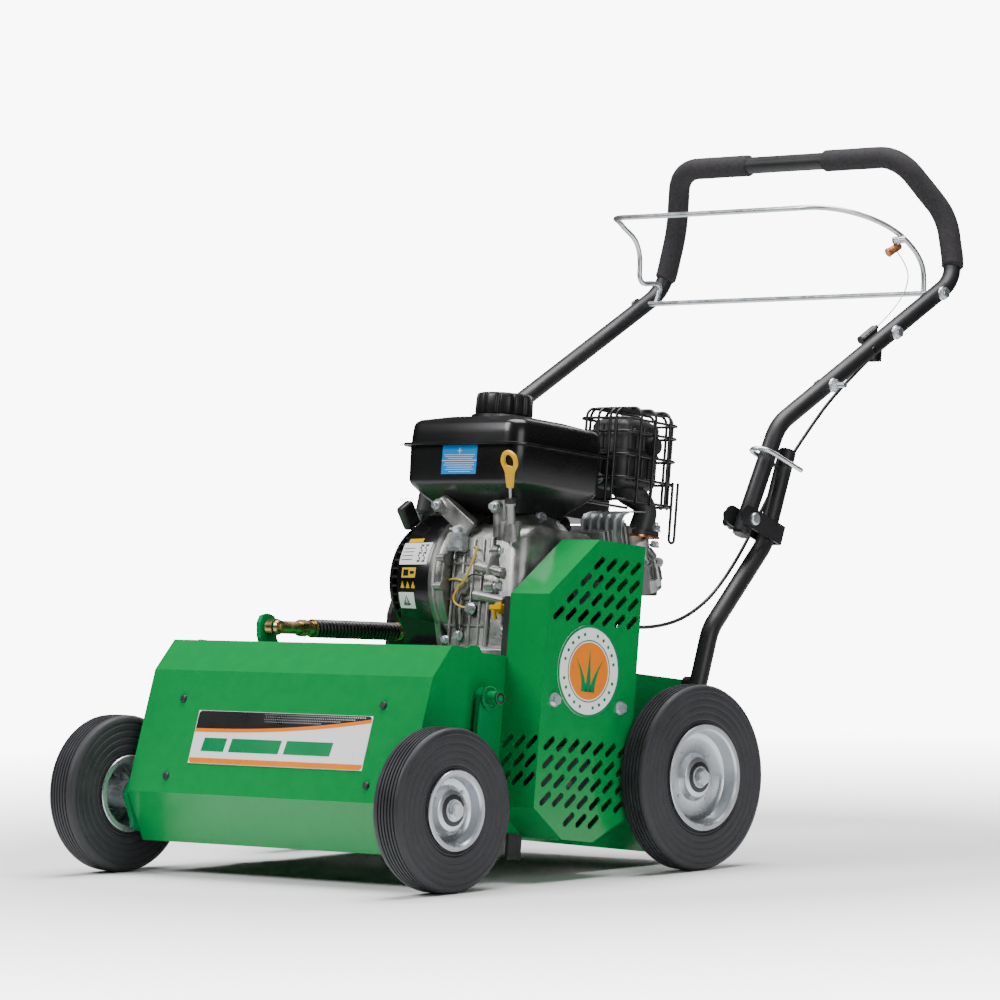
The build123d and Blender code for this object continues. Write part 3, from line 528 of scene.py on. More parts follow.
def ring(bm, x0, x1, y, z, r_in, r_out):
    """A flat ring about a line along X."""
    turned(bm, [(x0, r_in), (x1, r_in), (x1, r_out), (x0, r_out)], y, z)


def round_badge():
    """A plain roundel: a green rim and three blades of grass on orange."""
    x = deck_box("belt_guard")[1].x + 0.8
    y, z = -198.8, 126.7

    def badge(name, build, finish="green_print"):
        mesh_piece(f"badge_{name}", build, finish)

    badge("rim", lambda bm: ring(bm, x, x + 0.25, y, z, 58.5, 62))
    badge("band", lambda bm: ring(bm, x, x + 0.25, y, z, 40.5, 42))
    badge("field", lambda bm: rod_x(bm, y, z, 38.5, x, x + 0.3, sides=72), "orange_print")

    def blades(bm):
        for lean, height, shift in ((-0.42, 44, -8), (0.0, 56, 0), (0.42, 44, 8)):
            left, right = [], []
            for i in range(9):
                t = i / 8
                bend = lean * height * t ** 1.8
                width = 5.2 * (1 - t) + 0.3
                level = z - 28 + height * t
                left.append((y + shift + bend - width, level))
                right.append((y + shift + bend + width, level))
            plate(bm, left + right[::-1], x + 0.3, x + 0.6)

    badge("blades", blades)

    def marks(bm):
        for k, a in enumerate(circle(24)):
            if k % 6:
                rod_x(bm, *polar(y, z, 50, a), 2.4, x, x + 0.3, sides=16)

    badge("marks", marks)


# ------------------------------ general shapes ------------------------------
def rounded_loop(x0, x1, y0, y1, radius, corner=7):
    """A rectangle with round corners, as (x, y) points."""
    points = []
    for cx, cy, start in ((x1 - radius, y1 - radius, 0), (x0 + radius, y1 - radius, 90),
                          (x0 + radius, y0 + radius, 180), (x1 - radius, y0 + radius, 270)):
        for i in range(corner):
            a = radians(start + 90 * i / (corner - 1))
            points.append((cx + radius * cos(a), cy + radius * sin(a)))
    return points


def stacked(bm, levels):
    """A closed body through (z, x0, x1, y0, y1, corner radius) levels."""
    skin(bm, [[(x, y, level[0]) for x, y in rounded_loop(*level[1:])] for level in levels])


def rounded_path(points, radii, step=6.0):
    """Straight runs joined by arcs, as close points."""
    points = [Vector(p) for p in points]
    path = [points[0]]
    for a, b, c, r in zip(points, points[1:], points[2:], radii):
        u, v = (a - b).normalized(), (c - b).normalized()
        half = u.angle(v) / 2
        back = r / tan(half)
        centre = b + (u + v).normalized() * (r / sin(half))
        start, end = b + u * back, b + v * back
        s, e = start - centre, end - centre
        sweep = s.angle(e)
        count = max(4, int(sweep * r / step))
        axis = s.cross(e).normalized()
        for i in range(count + 1):
            path.append(centre + Matrix.Rotation(sweep * i / count, 3, axis) @ s)
    path.append(points[-1])
    return path


def tapered(bm, box, levels):
    """A closed body through (z, inset, corner radius) levels of one (x0, x1, y0, y1) box."""
    x0, x1, y0, y1 = box
    stacked(bm, [(z, x0 + inset, x1 - inset, y0 + inset, y1 - inset, radius) for z, inset, radius in levels])


def sleeve(bm, path, radius, sides=28):
    """A round body along close points; radius is a function of the share of its length."""
    lengths = [0.0]
    for a, b in zip(path, path[1:]):
        lengths.append(lengths[-1] + (b - a).length)
    normal = None
    loops = []
    for i, p in enumerate(path):
        ahead = path[min(i + 1, len(path) - 1)] - path[max(i - 1, 0)]
        ahead.normalize()
        if normal is None:
            normal = ahead.orthogonal().normalized()
        normal = (normal - ahead * normal.dot(ahead)).normalized()
        side = ahead.cross(normal)
        r = radius(lengths[i] / lengths[-1])
        loops.append([p + (normal * cos(a) + side * sin(a)) * r for a in circle(sides)])
    skin(bm, loops)


def even_path(path, step):
    """The same line with points no further apart than step."""
    points = [path[0]]
    for a, b in zip(path, path[1:]):
        count = max(1, int((b - a).length / step))
        points += [a.lerp(b, (i + 1) / count) for i in range(count)]
    return points


# --------------------------------- engine -----------------------------------
CRANK = joint_place("crank_spin")


def fuel_tank():
    """The two-part shell with its seam and neck, and the sticker on its front."""
    low, high = deck_box("fuel_tank")
    ledge = 9
    front = low.y + ledge
    box = low.x + ledge, high.x - ledge, front, high.y - ledge
    lower = ((337, 40, 16), (341, 36, 18), (352, 24, 20), (358, 17, 22), (372, 4, 24), (378, 1, 25),
             (424, 0, 25), (425.3, 0, 25))
    seam = ((425.3, -8, 30), (425.9, -8.8, 30), (427.9, -8.8, 30), (428.6, -8, 30))
    upper = ((428.5, 0.5, 25), (441, 1, 25), (454, 2, 25), (458.5, 4.5, 23), (461.5, 9, 20), (468.5, 36, 16),
             (469.8, 42, 14))

    def build(bm):
        for levels in (lower, seam, upper):
            tapered(bm, box, levels)

    tank = mesh_piece("tank_shell", build, "tank_black", smooth=33)

    def neck(bm):
        rod(bm, (138, -196, 468), (138, -196, 484), 24.6)
        rod(bm, (138, -196, 467), (138, -196, 473.8), 47, 43.5, sides=64)

    mesh_piece("tank_neck", neck, "tank_black", smooth=33)
    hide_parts("fuel_tank")
    mesh_piece("tank_sticker", lambda bm: block(bm, 109, 174, front - 0.35, front + 0.1, 385, 424.5),
               "blue_print")

    def lines(bm):
        marks = [(109, 174, 403.2, 404.0), (137.5, 145.5, 416.6, 417.4), (141, 142, 413, 421)]
        for i, (left, right) in enumerate(((113, 170), (115, 168), (121, 166))):
            marks.append((left, right, 411.2 - 2.6 * i, 411.8 - 2.6 * i))
        for i, (left, right) in enumerate(((115, 169), (113, 170), (119, 166), (116, 169), (123, 163))):
            marks.append((left, right, 400 - 3 * i, 400.7 - 3 * i))
        for left, right, foot, top in marks:
            block(bm, left, right, front - 0.5, front, foot, top)

    mesh_piece("tank_sticker_marks", lines, "white_plastic")


def fuel_cap():
    """The cap with twelve flutes round it."""
    low, high = deck_box("fuel_cap")
    cx, cy = (low.x + high.x) / 2, (low.y + high.y) / 2
    radius, flute, flutes = 39.8, 3.4, 12

    def build(bm):
        loops = []
        for z, scale in ((low.z + 0.4, 0.97), (low.z + 2.5, 1.0), (high.z - 7, 0.985), (high.z - 3.2, 0.965),
                         (high.z - 1.0, 0.93), (high.z - 0.2, 0.87)):
            loop = []
            for a in circle(240):
                r = (radius - flute * max(0.0, cos(flutes * a)) ** 3) * scale
                loop.append((cx + r * cos(a), cy + r * sin(a), z))
            loops.append(loop)
        skin(bm, loops)
        rod(bm, (cx, cy, high.z - 0.3), (cx, cy, high.z - 0.05), 29, 28, sides=64)

    cap = mesh_piece("fuel_cap_fluted", build, "cap_black", body="fuel_cap", smooth=38)
    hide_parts("fuel_cap")


def blower():
    """The fan drum with its rolled rim, the slotted starter cover and the labels."""
    y, z = CRANK

    def feet(bm, inner, outer, drop, low_outer, ground, x0, x1):
        """The drum's two feet, which narrow from the outer offset to low_outer at the ground."""
        outline = ((inner, z - drop), (outer, z - drop), (low_outer, ground), (inner, ground))
        for s in (-1, 1):
            plate(bm, [(y + s * offset, level) for offset, level in outline], x0, x1)

    def drum(bm):
        profile = [(38, 84), (38, 92), (40, 96), (44, 98.5), (104, 101.5), (106, 100.5), (106, 84)]
        turned(bm, profile, y, z, 120)
        feet(bm, 58, 84, 50, 70, 150, 40, 105.5)
        plate(bm, [(y - 96, 150), (y + 96, 150), (y + 96, 153), (y - 96, 153)], 40, 105.5)

    housing = mesh_piece("blower_drum", drum, "shroud_black", smooth=40)
    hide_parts("blower_housing")

    def rim(bm):
        profile = [(105.5, 60), (105.5, 102), (106.5, 104), (109, 105), (114, 105), (115.5, 103.5),
                   (116, 100.5), (124, 98.5), (126, 96), (126, 60)]
        turned(bm, profile, y, z, 120)
        feet(bm, 60, 86, 54, 74, 146, 106, 116)
        for degrees in (112, 138, 165, 188):
            rod_x(bm, *polar(y, z, 98, radians(degrees)), 6, 108, 129)

    mesh_piece("blower_rim", rim, "engine_alloy", bevel=0.3, smooth=38)

    def cover(bm):
        shell = [(8, 20), (8, 70), (10, 78), (14, 84), (20, 86), (22, 86), (22, 82.5), (15, 80), (12, 76),
                 (11, 20)]
        turned(bm, shell, y, z)
        turned(bm, [(35, 82.5), (35, 87), (38, 90), (40, 90), (40, 82.5)], y, z)
        for a in circle(44):
            rod(bm, (21, *polar(y, z, 84.4, a)), (36, *polar(y, z, 85.4, a)), 2.1, sides=8)
        for r in (26, 38, 50, 62):
            turned(bm, [(7.0, r), (7.0, r + 4), (9, r + 5), (9, r - 1)], y, z)
        rod_x(bm, y, z, 21, 7, 12)
        rod_x(bm, y, z, 9, 4, 8)

    starter = mesh_piece("starter_cover", cover, "shroud_black", smooth=38)
    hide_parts("recoil_cover")

    def wrap(bm, x0, x1, a0, a1, r0=101.8, steps=14):
        """A sticker on the drum, which widens along X, between two angles round the crank axis."""
        thick = 0.3
        corners = [(x, r0 - 3.0 * (104 - x) / 60 + lift)
                   for x, lift in ((x0, 0), (x1, 0), (x1, thick), (x0, thick))]
        angles = [radians(a0 + (a1 - a0) * i / steps) for i in range(steps + 1)]
        skin(bm, [[(x, *polar(y, z, r, a)) for x, r in corners] for a in angles])

    for name, finish, edges in (("white", "plate_print", (44, 99, 152.5, 171)),
                                ("head", "yellow_print", (50, 78, 148.5, 152.0)),
                                ("yellow", "yellow_print", (52, 79, 173.5, 181.5)),
                                ("small", "plate_print", (46, 76, 193.0, 206))):
        mesh_piece(f"drum_label_{name}", lambda bm: wrap(bm, *edges), finish)

    def dark(bm):
        for i in range(4):
            wrap(bm, 47, 68, 157 + 3.2 * i, 157.6 + 3.2 * i, 102.0, 2)
        for i in range(7):
            for k in range(7):
                if (i * i + 3 * k + i * k) % 3:
                    wrap(bm, 75 + 3.1 * i, 77.4 + 3.1 * i, 154.2 + 2.2 * k, 155.9 + 2.2 * k, 102.0, 1)
        wrap(bm, 55, 65, 175.0, 180.0, 102.0, 2)
        wrap(bm, 68, 76, 176.2, 178.6, 102.0, 2)
        for i in range(7):
            wrap(bm, 54 + i * 1.9, 55.4 + i * 1.9, 195.5 + abs(i - 3) * 2.0, 203.5, 102.0, 1)

    mesh_piece("drum_label_marks", dark, "black_print")

    def triangles(bm):
        for i in range(3):
            for k in range(5):
                spread = 0.85 * k
                x = 54 + 10.5 * i
                wrap(bm, x - spread, x + spread + 0.3, 184.2 + 1.1 * k, 185.3 + 1.1 * k, steps=1)

    mesh_piece("drum_label_triangles", triangles, "yellow_print")


def crankcase():
    """The raw casting: base, rounded body, joint flange, ribs, bosses and bolts."""
    y, z = CRANK
    foot = deck_box("engine_crankcase")[0].z
    lobes = [polar(y + 8, z + 4, 88, radians(degrees)) for degrees in (96, 128, 158, 190, 218)]

    def body(bm):
        stacked(bm, [(foot, 112, 256, -272, -88, 10), (foot + 9, 112, 256, -272, -88, 10),
                     (foot + 12, 115, 253, -269, -91, 9), (foot + 15, 121, 250, -263, -94, 16),
                     (300, 121, 250, -262, -95, 20), (312, 125, 246, -257, -99, 22),
                     (320, 132, 240, -246, -108, 22)])
        stacked(bm, [(level, 196, 203, y0, y1, 3) for level, y0, y1 in
                     ((foot + 12, -268, -90), (298, -267, -91), (318, -256, -100), (325, -244, -110))])
        for x in (128, 146, 164, 181):
            stacked(bm, [(level, x, x + 4, y0, y1, 1.5) for level, y0, y1 in
                         ((foot + 14, -266, -92), (296, -265, -92), (316, -252, -104))])
        for level in (178, 214, 262):
            block(bm, 120, 198, -265.5, -240, level, level + 4)
        cover = [(198, 20), (198, 96), (204, 94), (214, 86), (226, 76), (238, 66), (246, 56), (252, 34),
                 (256, 30), (256, 12), (200, 12)]
        turned(bm, cover, y + 8, z + 4, 80)
        for lobe in lobes:
            rod_x(bm, *lobe, 9.5, 196, 212)
        for start, end, r, r_end in (((150, -268, 236), (150, -250, 236), 15, 17),
                                     ((172, -262, 262), (224, -264, 252), 9, 7),
                                     ((176, -266, 222), (232, -266, 214), 7.5, 6)):
            rod(bm, start, end, r, r_end)

    case = mesh_piece("crankcase_casting", body, "engine_alloy", bevel=1.1, smooth=45)
    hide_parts("engine_crankcase")

    def arms(bm):
        rod(bm, (98, -262, 351), (152, -250, 312), 11, 11 * 1.15, sides=20)
        rod(bm, (207, -262, 351), (209, -258, 300), 10, 10 * 1.15, sides=20)
        web = [(96, 354), (112, 354), (168, 318), (150, 300), (92, 338)]
        skin(bm, [[(x, level, height) for x, height in web] for level in (-270, -262)])
        rod(bm, (100, -276, 343), (100, -258, 343), 9)
        rod(bm, (207, -275, 341), (207, -255, 341), 9)

    mesh_piece("tank_arms", arms, "engine_alloy", bevel=1.4, smooth=45)

    def bolts(bm):
        for place, size in (((170, -266, 203), 7), ((150, -265, 166), 6), ((231, -264, 172), 6),
                            ((226, -262, 316), 8), ((100, -276, 343), 5), ((207, -275, 341), 5.4),
                            ((126, -265, 160), 5)):
            hex_bolt(bm, place, (0, -1, 0), size, 5)
        for lobe in lobes:
            hex_bolt(bm, (212, *lobe), (1, 0, 0), 5.6, 5)

    mesh_piece("engine_bolts", bolts, "zinc", bevel=0.3, smooth=30)

    def plug(bm):
        rod(bm, (226, -264, 204), (226, -275, 204), 8, 7.4)
        block(bm, 216, 238, -280, -274, 201, 207.5)
        rod(bm, (222, -272, 188), (222, -277, 202), 3, 3)

    mesh_piece("oil_plug", plug, "dip_yellow", bevel=0.8, smooth=40)

    def coil_box(bm):
        block(bm, 128, 152, -277, -262, 280, 306)
        block(bm, 131, 149, -279, -276, 284, 300)
        rod(bm, (140, -277, 308), (140, -264, 314), 6, 5)

    mesh_piece("ignition_box", coil_box, "zinc", bevel=1.2, smooth=35)

    def connector(bm):
        rod(bm, (196, -268, 246), (212, -269, 243), 4.4, 4.0)
        rod(bm, (212, -269, 243), (218, -269, 242), 3, 2.4)

    mesh_piece("wire_connector", connector, "white_plastic", bevel=0.5)
    for name, r, finish, points in (
        ("yellow_1", 1.5, "yellow_wire",
         [(166, -264, 286), (176, -272, 288), (180, -273, 282), (168, -273, 255), (160, -272, 238),
          (148, -272, 232)]),
        ("yellow_2", 1.5, "yellow_wire",
         [(118, -262, 240), (130, -271, 242), (146, -273, 243), (156, -272, 240)]),
        ("yellow_3", 1.3, "dip_yellow",
         [(148, -270, 232), (142, -273, 222), (144, -274, 210), (158, -273, 204), (170, -270, 203)]),
        ("black_1", 1.2, "cable_sheath",
         [(118, -262, 250), (128, -272, 262), (148, -274, 274), (166, -273, 282)]),
        ("black_2", 1.4, "cable_sheath",
         [(160, -266, 246), (174, -273, 249), (186, -273, 249), (198, -269, 246)]),
        ("black_3", 2.2, "cable_sheath",
         [(152, -266, 226), (148, -273, 210), (150, -273, 190), (152, -270, 172)]),
    ):
        wire(f"wire_{name}", points, r, finish)


def dipstick():
    """The filler's foot on the crankcase, and the dipstick with its yellow ring."""
    foot, top = Vector((235, -268, 312)), Vector((251, -298, 398))
    run = (top - foot).normalized()
    centre = foot + run * 94
    across = run.cross(Vector((0, -1, 0))).normalized()
    front = across.cross(run).normalized()

    def along(start, end, r, r_end=None, sides=24):
        """Builds a rod between two distances from the foot."""
        return lambda bm: rod(bm, foot + run * start, foot + run * end, r, r_end, sides)

    def tube(bm):
        along(-16, 8, 13, 8.5)(bm)
        along(4, 36, 6.6, 5.6)(bm)
        block(bm, 214, 248, -268, -262, 300, 322)

    mesh_piece("dipstick_boss", tube, "engine_alloy", bevel=0.8, smooth=42)
    mesh_piece("dipstick_collar", along(35.4, 42, 7.8), "cap_black", body="dipstick", bevel=0.8,
               smooth=42)
    mesh_piece("dipstick_blade", along(-100, 64, 2.2, sides=32), "steel", body="dipstick")

    def handle(bm):
        section = ((9.2, -1.2), (10, -2.6), (14.2, -2.6), (15.2, -1.2), (15.2, 1.2), (14.2, 2.6), (10, 2.6),
                   (9.2, 1.2))
        hoop(bm, [[centre + (across * cos(a) + run * sin(a)) * r + front * t for r, t in section]
                  for a in circle(56)])
        stem = [(-12.5, -7), (12.5, -7), (7, -16), (5.2, -32), (4, -37), (-4, -37), (-5.2, -32), (-7, -16)]
        skin(bm, [[centre + across * u + run * w + front * t for u, w in stem] for t in (2.4, -2.4)])

    grip = mesh_piece("dipstick_ring", handle, "dip_yellow", body="dipstick", smooth=40)
    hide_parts("dipstick")


def muffler():
    """The ribbed can in two halves, and the exhaust elbow with its flange."""
    def can(bm):
        x0, x1, y0, y1, z0, z1 = 178, 245, -65, 15, 392, 490
        levels = ((z0, 8, 14), (z0 + 5, 2, 14), (z0 + 10, 0, 14), (438, 0, 14), (440, -2.4, 16),
                  (442.5, -2.4, 16), (444, 0, 14), (z1 - 12, 0, 14), (z1 - 5, 3, 14), (z1, 12, 14))
        tapered(bm, (x0, x1, y0, y1), levels)
        ribs = [(x, x + 6, y0 - 2.8, y1 + 2.8) for x in (190, 202, 214, 226)]
        ribs += [(x0 - 2.8, x1 + 2.8, y - 3, y + 3) for y in (-52, -38, -24, -10, 2)]
        for rib in ribs:
            for foot, top in ((z0 + 10, 436), (446, z1 - 10)):
                tapered(bm, rib, ((foot, 0, 2.6), (top, 0, 2.6)))
        rod(bm, (244, -8, 455), (256, -8, 455), 13, 12)
        rod(bm, (246, -46, 470), (251, -46, 470), 6, 5)

    box = mesh_piece("muffler_can", can, "muffler_steel", bevel=0.9, smooth=45)
    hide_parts("muffler")
    corners = [(216, -34, 400), (224, -28, 388), (247, -8, 372), (240, -13, 331)]
    path = even_path(rounded_path(corners, [24, 22], 3), 3)

    def elbow(bm):
        sleeve(bm, path, lambda t: 16.0 + 2.2 * (2 * t - 1) ** 2, 32)

    mesh_piece("exhaust_elbow", elbow, "muffler_steel", smooth=50)
    for name, box, foot, top, finish, bevel in (
        ("flange", (214, 262, -36, 12), 330, 337, "muffler_steel", 1.0),
        ("gasket", (212, 263, -38, 13), 327, 329.9, "copper", 0.5),
    ):
        mesh_piece(f"exhaust_{name}", lambda bm: tapered(bm, box, ((foot, 0, 15), (top, 0, 15))), finish,
                   bevel=bevel, smooth=40)

    def nuts(bm):
        for x, y in ((221, -29), (255, 3)):
            hex_bolt(bm, (x, y, 337), (0, 0, 1), 6.5, 7)
            rod(bm, (x, y, 337), (x, y, 350), 3.2)
        hex_bolt(bm, (206, -67, 404), (0, -1, 0), 6, 5)

    mesh_piece("exhaust_nuts", nuts, "zinc", bevel=0.3, smooth=30)


def cylinder_shield():
    """The ribbed sheet over the cylinder, the port casting and the governor spring."""
    def shield(bm):
        x0, width, count, pitch = 180, 76, 60, 15.2
        profile = ((0, 312), (-6, 322), (-8, 345), (-2, 354), (12, 360), (40, 362))
        sections = []
        for i in range(count + 1):
            across = width * i / count
            y = -60 - 2.6 * max(0.0, cos(2 * pi * across / pitch))
            sections.append([(x0 + across, y + dy, z) for dy, z in profile]
                            + [(x0 + across, y + dy + 1.5, z - 1.2) for dy, z in reversed(profile)])
        skin(bm, sections)

    mesh_piece("cylinder_shield", shield, "bright_sheet", smooth=50)

    def port(bm):
        for start, end, r, r_end, sides in (((232, -14, 326), (229, 4, 292), 20, 16, 28),
                                            ((229, 4, 294), (225, 22, 262), 17, 21, 28),
                                            ((226, 18, 276), (224, 26, 258), 24, 23, 28),
                                            ((240, 20, 300), (246, 26, 270), 8, 7, 32),
                                            ((242, 2, 312), (252, 8, 300), 7, 6, 32)):
            rod(bm, start, end, r, r_end, sides)
        for k in range(3):
            block(bm, 214, 243, 14 + 7 * k, 17 + 7 * k, 262 - 6 * k, 300 - 10 * k)

    mesh_piece("exhaust_port", port, "engine_alloy", bevel=1.5, smooth=50)

    def port_bolts(bm):
        for base, out in (((243, 16, 318), (0.4, -0.2, 1)), ((247, 22, 296), (1, -0.4, 0.2)),
                          ((244, 24, 268), (1, -0.4, 0))):
            hex_bolt(bm, base, out, 6.0, 5)

    mesh_piece("port_bolts", port_bolts, "zinc", bevel=0.3, smooth=30)
    turns, pitch, coil_r, steps = 7, 2.85, 12, 12
    points = [(176 + pitch * i / steps, *polar(-118, 332, coil_r, 2 * pi * i / steps))
              for i in range(turns * steps + 1)]
    wire("governor_spring", points, 1.3, "spring_black")


# ------------------------------- height link --------------------------------
def height_link():
    """The spring and the plated fittings on the link between the carriage and the hand lever."""
    y0, z0 = joint_place("height_link_pin")
    start, end = Vector((-92.0, y0, z0)), Vector((-92.0, -118.0, 181.0))
    run = (end - start).normalized()
    length = (end - start).length
    side = run.cross(Vector((1, 0, 0)))
    spring_foot, spring_top = 76, length - 24.5
    steps = 24 * 10
    points = []
    for i in range(steps + 1):
        a = 2 * pi * i / 10
        along = spring_foot + (spring_top - spring_foot) * i / steps
        points.append(start + run * along + (Vector((1, 0, 0)) * cos(a) + side * sin(a)) * 11.0)
    coil = wire("height_spring_coil", points, 2.5, "spring_black", body="height_link")
    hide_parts("height_link_spring")

    def washers(bm):
        rod(bm, start + run * 73, start + run * 75.4, 13)
        rod(bm, start + run * (length - 24.6), start + run * (length - 22.4), 13)

    mesh_piece("height_spring_washers", washers, "yellow_zinc", body="height_link", bevel=0.4)

    def nut(bm):
        rod(bm, start + run * 48, start + run * 62, 12.2, sides=6)
        rod(bm, start + run * 62, start + run * 70, 10.4, sides=24)

    mesh_piece("height_link_nut", nut, "yellow_zinc", body="height_link", bevel=0.8, smooth=30)

    def pin_head(bm):
        rod_x(bm, y0, z0, 10.5, -82.5, -78.0, 9.0)
        rod_x(bm, y0, z0, 4.5, -79, -74)

    mesh_piece("height_pin_head", pin_head, "yellow_zinc", body="carriage", bevel=0.6)


# ------------------------------ handle details ------------------------------
HANDLE_X = 285.25
TUBE_R = 12.7
BAIL_R = 4.0
UPPER_TUBE = [(HANDLE_X, 149.6, 351.3), (HANDLE_X, 212.6, 511.5), (HANDLE_X, 592, 775.5), (264, 589, 868),
              (213, 530, 951), (0, 530, 951)]
UPPER_BENDS = [70, 62, 90, 58]
FOAM_FOOT_Z, FOAM_END_X, FOAM_R = 788.0, 72.0, 16.5


def foam_grips():
    """Two soft sleeves with rounded lips, slightly uneven along their length."""
    line = even_path(rounded_path(UPPER_TUBE, UPPER_BENDS, 3), 4)
    line = [p for p in line if p.z > FOAM_FOOT_Z and p.x > FOAM_END_X]

    def radius(t):
        lip = min(1.0, min(t, 1 - t) / 0.006)
        waver = 0.25 * noise.noise(Vector((t * 14, 3.1, 0.7)))
        return 13.2 + (FOAM_R - 13.45 + waver) * lip ** 0.5

    for side, sign in (("left", 1), ("right", -1)):
        path = [Vector((sign * p.x, p.y, p.z)) for p in line]
        grip = mesh_piece(f"foam_grip_{side}", lambda bm: sleeve(bm, path, radius), "foam",
                          body="upper_handle", smooth=60)
        if side == "left":
            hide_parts("foam_grips")


def handle_fittings():
    """Bolt heads, nuts, caps and the bail's cable clip."""
    def heads(bm):
        for y, z, sign in ((314, 581, 1), (448, 675.3, 1), (549, 747, 1), (549, 747, -1)):
            face = sign * (HANDLE_X + TUBE_R)
            hex_bolt(bm, (face, y, z), (sign, 0, 0), 8.4, 6)
            rod(bm, (face, y, z), (face + sign * 3, y, z), 10.5, 9.5)
        rod(bm, (HANDLE_X + 18, 314, 581), (HANDLE_X + 34, 314, 581), 4)
        hex_bolt(bm, (HANDLE_X - TUBE_R, 314, 581), (-1, 0, 0), 7.5, 5)

    mesh_piece("handle_nuts", heads, "zinc", body="upper_handle", bevel=0.3, smooth=30)
    mesh_piece("handle_plug", lambda bm: rod_x(bm, 401, 643.2, 5, HANDLE_X + 12.0, HANDLE_X + 13.1, 4.6),
               "cap_black", body="upper_handle")

    for name, body, start, end in (("lower", "chassis", (236.2, 472), (237.9, 478.3)),
                                   ("upper", "upper_handle", (149.9, 352), (148.3, 348.0))):
        def caps(bm):
            for x in (-HANDLE_X, HANDLE_X):
                rod(bm, (x, *start), (x, *end), 12.9, 11.6)

        mesh_piece(f"tube_caps_{name}", caps, "cap_black", body=body, bevel=0.8)

    def bracket(bm):
        rod(bm, (268, 404, 658), (268, 434, 679.5), 7.4, 7.0, sides=6)
        rod(bm, (268, 434, 679.5), (268, 440, 684), 4.0, 3.2)

    mesh_piece("cable_bracket", bracket, "cap_black", body="upper_handle", bevel=1.0)

    def clip(bm):
        rod(bm, (247, 482, 800), (253, 498, 812), 6.6, 6.0, sides=8)
        rod(bm, (246, 479, 798), (247, 482, 800), 7.4, 7.4, sides=8)

    mesh_piece("bail_cable_clip", clip, "copper", body="bail", bevel=1.0)

    def eye(bm):
        rod(bm, (251, 492, 808), (256, 497, 826), 3.4, 5.0, sides=20)
        rod(bm, (249, 486, 817), (259, 500, 821), 5.4, 5.4, sides=24)

    mesh_piece("bail_cable_eye", eye, "zinc", body="bail", bevel=0.6)
    inner = [(250, 490, 806), (262, 508, 784), (269, 504, 752), (269, 474, 712), (268, 439, 683)]
    pull = curve_mesh("bail_inner_wire", inner, 0.9, "steel")
    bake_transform(pull)


def bail_wire():
    """The bent wire of the bail, with the small jog at its right-hand foot, and its cross rod."""
    right = [(262, 549, 748), (262, 549, 770), (262, 541, 792), (260, 520, 812), (254, 488, 831),
             (240, 452, 844), (218, 414, 852), (188, 382, 854), (150, 371, 851)]
    left = [(-150, 371, 851), (-192, 378, 853), (-224, 400, 856), (-240, 428, 857), (-248, 450, 850),
            (-254, 484, 839), (-261, 504, 820), (-262, 508, 800), (-262, 508, 783), (-262, 517, 774),
            (-262, 536, 778), (-262, 555, 779), (-262, 557, 765), (-262, 549, 748)]
    bent = wire("bail_wire", right + left, BAIL_R, "zinc", body="bail")
    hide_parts("bail")
    mesh_piece("bail_cross_rod", lambda bm: rod_x(bm, 549, 748, BAIL_R, -279, 279, sides=20), "zinc",
               body="bail", bevel=0.4)


def star_knobs():
    """The two clamp knobs with five soft lobes."""
    y, z = joint_place("knob_left_turn")
    radius, lobe, lobes = 14.2, 1.7, 5
    levels = ((268.4, 0.55), (266, 0.62), (262, 0.7), (260.5, 0.94), (257, 1.0), (254, 0.97), (252.2, 0.84))
    for side, sign in (("left", 1), ("right", -1)):
        def build(bm):
            outline = [(a, radius + lobe * cos(lobes * a)) for a in circle(120)]
            skin(bm, [[(sign * x, *polar(y, z, r * scale, a)) for a, r in outline] for x, scale in levels])

        knob = mesh_piece(f"star_knob_{side}", build, "cap_black", body=f"knob_{side}", smooth=45)
        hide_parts(f"clamp_knob_{side}")


# The control cable's route, the same points as in the CAD, in millimetres in the deck frame.
CABLE_POINTS = [(292, -101.4, 196), (291, -58, 198), (287, -10, 205), (280, 36, 217), (273, 78, 235),
                (266, 118, 259), (260, 156, 293), (258, 190, 336), (257, 219, 384), (257, 248, 430),
                (259, 279, 476), (262, 312, 520), (266, 346, 563), (270, 386, 602), (272, 422, 634)]
CABLE_R = 2.6


def control_cable():
    """The sheathed cable from the guard to the handle."""
    centre = evaluated_mesh(wire("cable_line", CABLE_POINTS, 0.0, "cable_sheath"))
    cable = curve_mesh("control_cable_sheath", CABLE_POINTS, CABLE_R, "cable_sheath")
    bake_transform(cable)
    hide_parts("control_cable")


def weld_beads():
    """Fillet welds at the carriage's ends, and the two cap screws outside them."""
    y, z = joint_place("height_carriage")

    def build(bm):
        for sign in (-1, 1):
            for r, x in ((12.4, 277.6), (14.6, 280.4)):
                for a in circle(26):
                    bmesh.ops.create_icosphere(bm, subdivisions=1, radius=1.9,
                                               matrix=Matrix.Translation((sign * x, *polar(y, z, r, a))))

    mesh_piece("carriage_welds", build, "carriage_green", body="carriage", smooth=60)

    def caps(bm):
        x0, x1 = 296.8, 300.2
        for sign in (-1, 1):
            profile = ((x0, 4.2), (x1, 4.2), (x1, 7.6), (x1 - 0.8, 8.9), (x0, 8.9))
            turned(bm, [(sign * x, r) for x, r in profile], y, z, 40)
            rod_x(bm, y, z, 4.6, *sorted((sign * x0, sign * (x1 - 2.2))), sides=6)

    mesh_piece("carriage_cap_screws", caps, "cap_black", body="carriage", smooth=35)


add_camera()
control_cable()
paint_cad()
for where in ("front", "rear"):
    for side in ("left", "right"):
        wheel(where, side)
hood_label()
round_badge()
for make in (fuel_tank, fuel_cap, blower, crankcase, dipstick, muffler, cylinder_shield, height_link,
             foam_grips, handle_fittings, bail_wire, star_knobs, weld_beads):
    make()


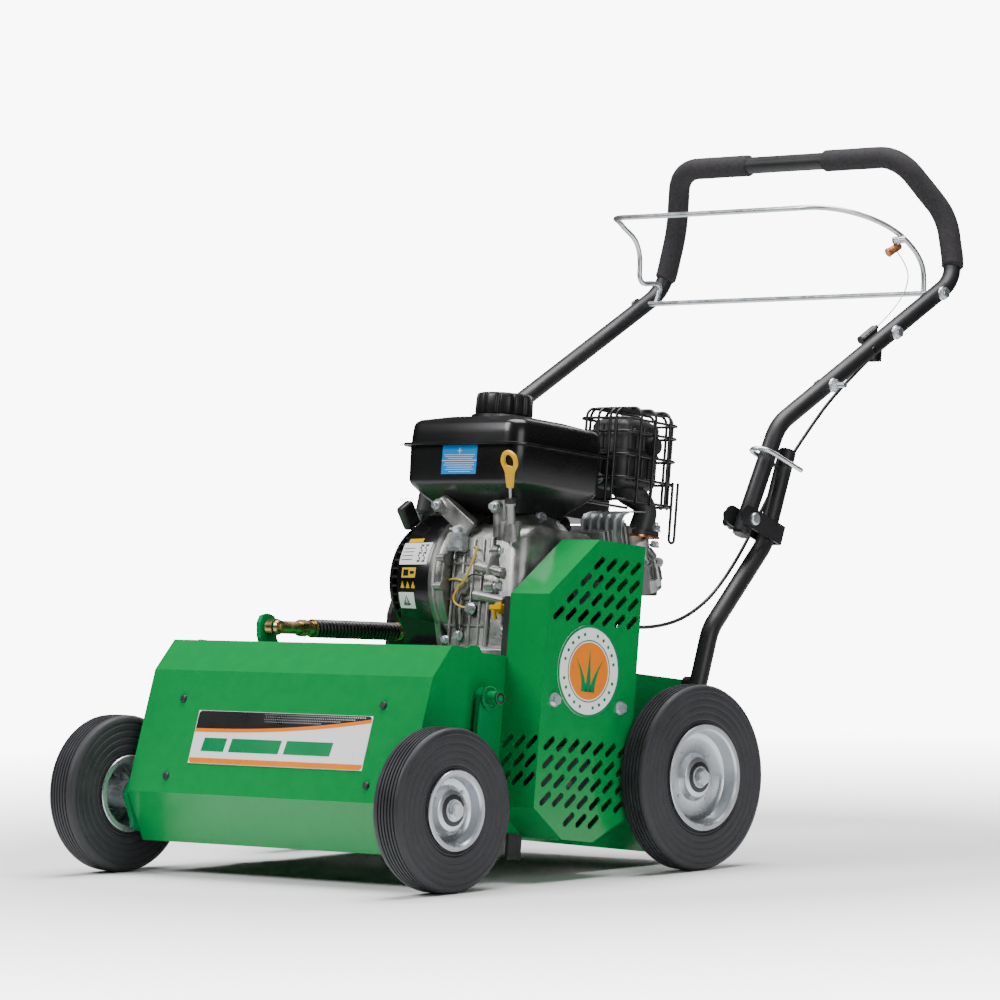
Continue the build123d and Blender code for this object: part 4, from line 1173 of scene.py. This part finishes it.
# ------------------------------ studio and end ------------------------------
def add_floor():
    """A pale floor that fades into the white room away from the machine."""
    bpy.ops.mesh.primitive_plane_add(size=12, location=(0, 0, 0))
    floor = bpy.context.object
    floor.name = "studio_floor"
    material, tree, shader, place = node_tree("studio_floor")
    broad = noise_node(tree, place, 0.8, 2.0)
    tree.links.new(two_tone(tree, broad, (0.93, 0.93, 0.93), (0.95, 0.95, 0.95)), shader.inputs["Base Color"])
    shader.inputs["Roughness"].default_value = 0.75
    shader.inputs["Specular IOR Level"].default_value = 0.1
    length = tree.nodes.new("ShaderNodeVectorMath")
    length.operation = "LENGTH"
    tree.links.new(place, length.inputs[0])
    fade = tree.nodes.new("ShaderNodeMixShader")
    tree.links.new(ranged(tree, length.outputs["Value"], 0.0, 1.0, 0.75, 2.9), fade.inputs["Fac"])
    tree.links.new(shader.outputs["BSDF"], fade.inputs[1])
    tree.links.new(tree.nodes.new("ShaderNodeBsdfTransparent").outputs["BSDF"], fade.inputs[2])
    tree.links.new(fade.outputs["Shader"], tree.nodes["Material Output"].inputs["Surface"])
    floor.data.materials.append(material)


def add_light(name, place, size, power):
    """A square lamp that faces the middle of the machine."""
    data = bpy.data.lights.new(name, "AREA")
    data.energy, data.size = power, size
    light = bpy.data.objects.new(name, data)
    bpy.context.collection.objects.link(light)
    light.location = place
    light.rotation_euler = (Vector((0, 0, 0.4)) - Vector(place)).to_track_quat("-Z", "Y").to_euler()


def add_world():
    """A white room behind the machine; the lamps alone light it."""
    world = bpy.data.worlds.new("studio")
    world.use_nodes = True
    background = world.node_tree.nodes["Background"]
    background.inputs["Color"].default_value = (1, 1, 1, 1)
    background.inputs["Strength"].default_value = 9.0
    world.cycles_visibility.diffuse = False
    world.cycles_visibility.glossy = False
    bpy.context.scene.world = world


def studio():
    """The floor, the white room and the four lamps."""
    add_floor()
    add_world()
    add_light("key", (-1.4, -3.2, 3.2), 1.8, 150)
    add_light("fill", (4.2, -1.4, 1.4), 2.4, 60)
    add_light("top", (0.1, 0.3, 4.0), 3.0, 300)
    add_light("back", (-1.5, 4.5, 1.8), 2.4, 80)


studio()
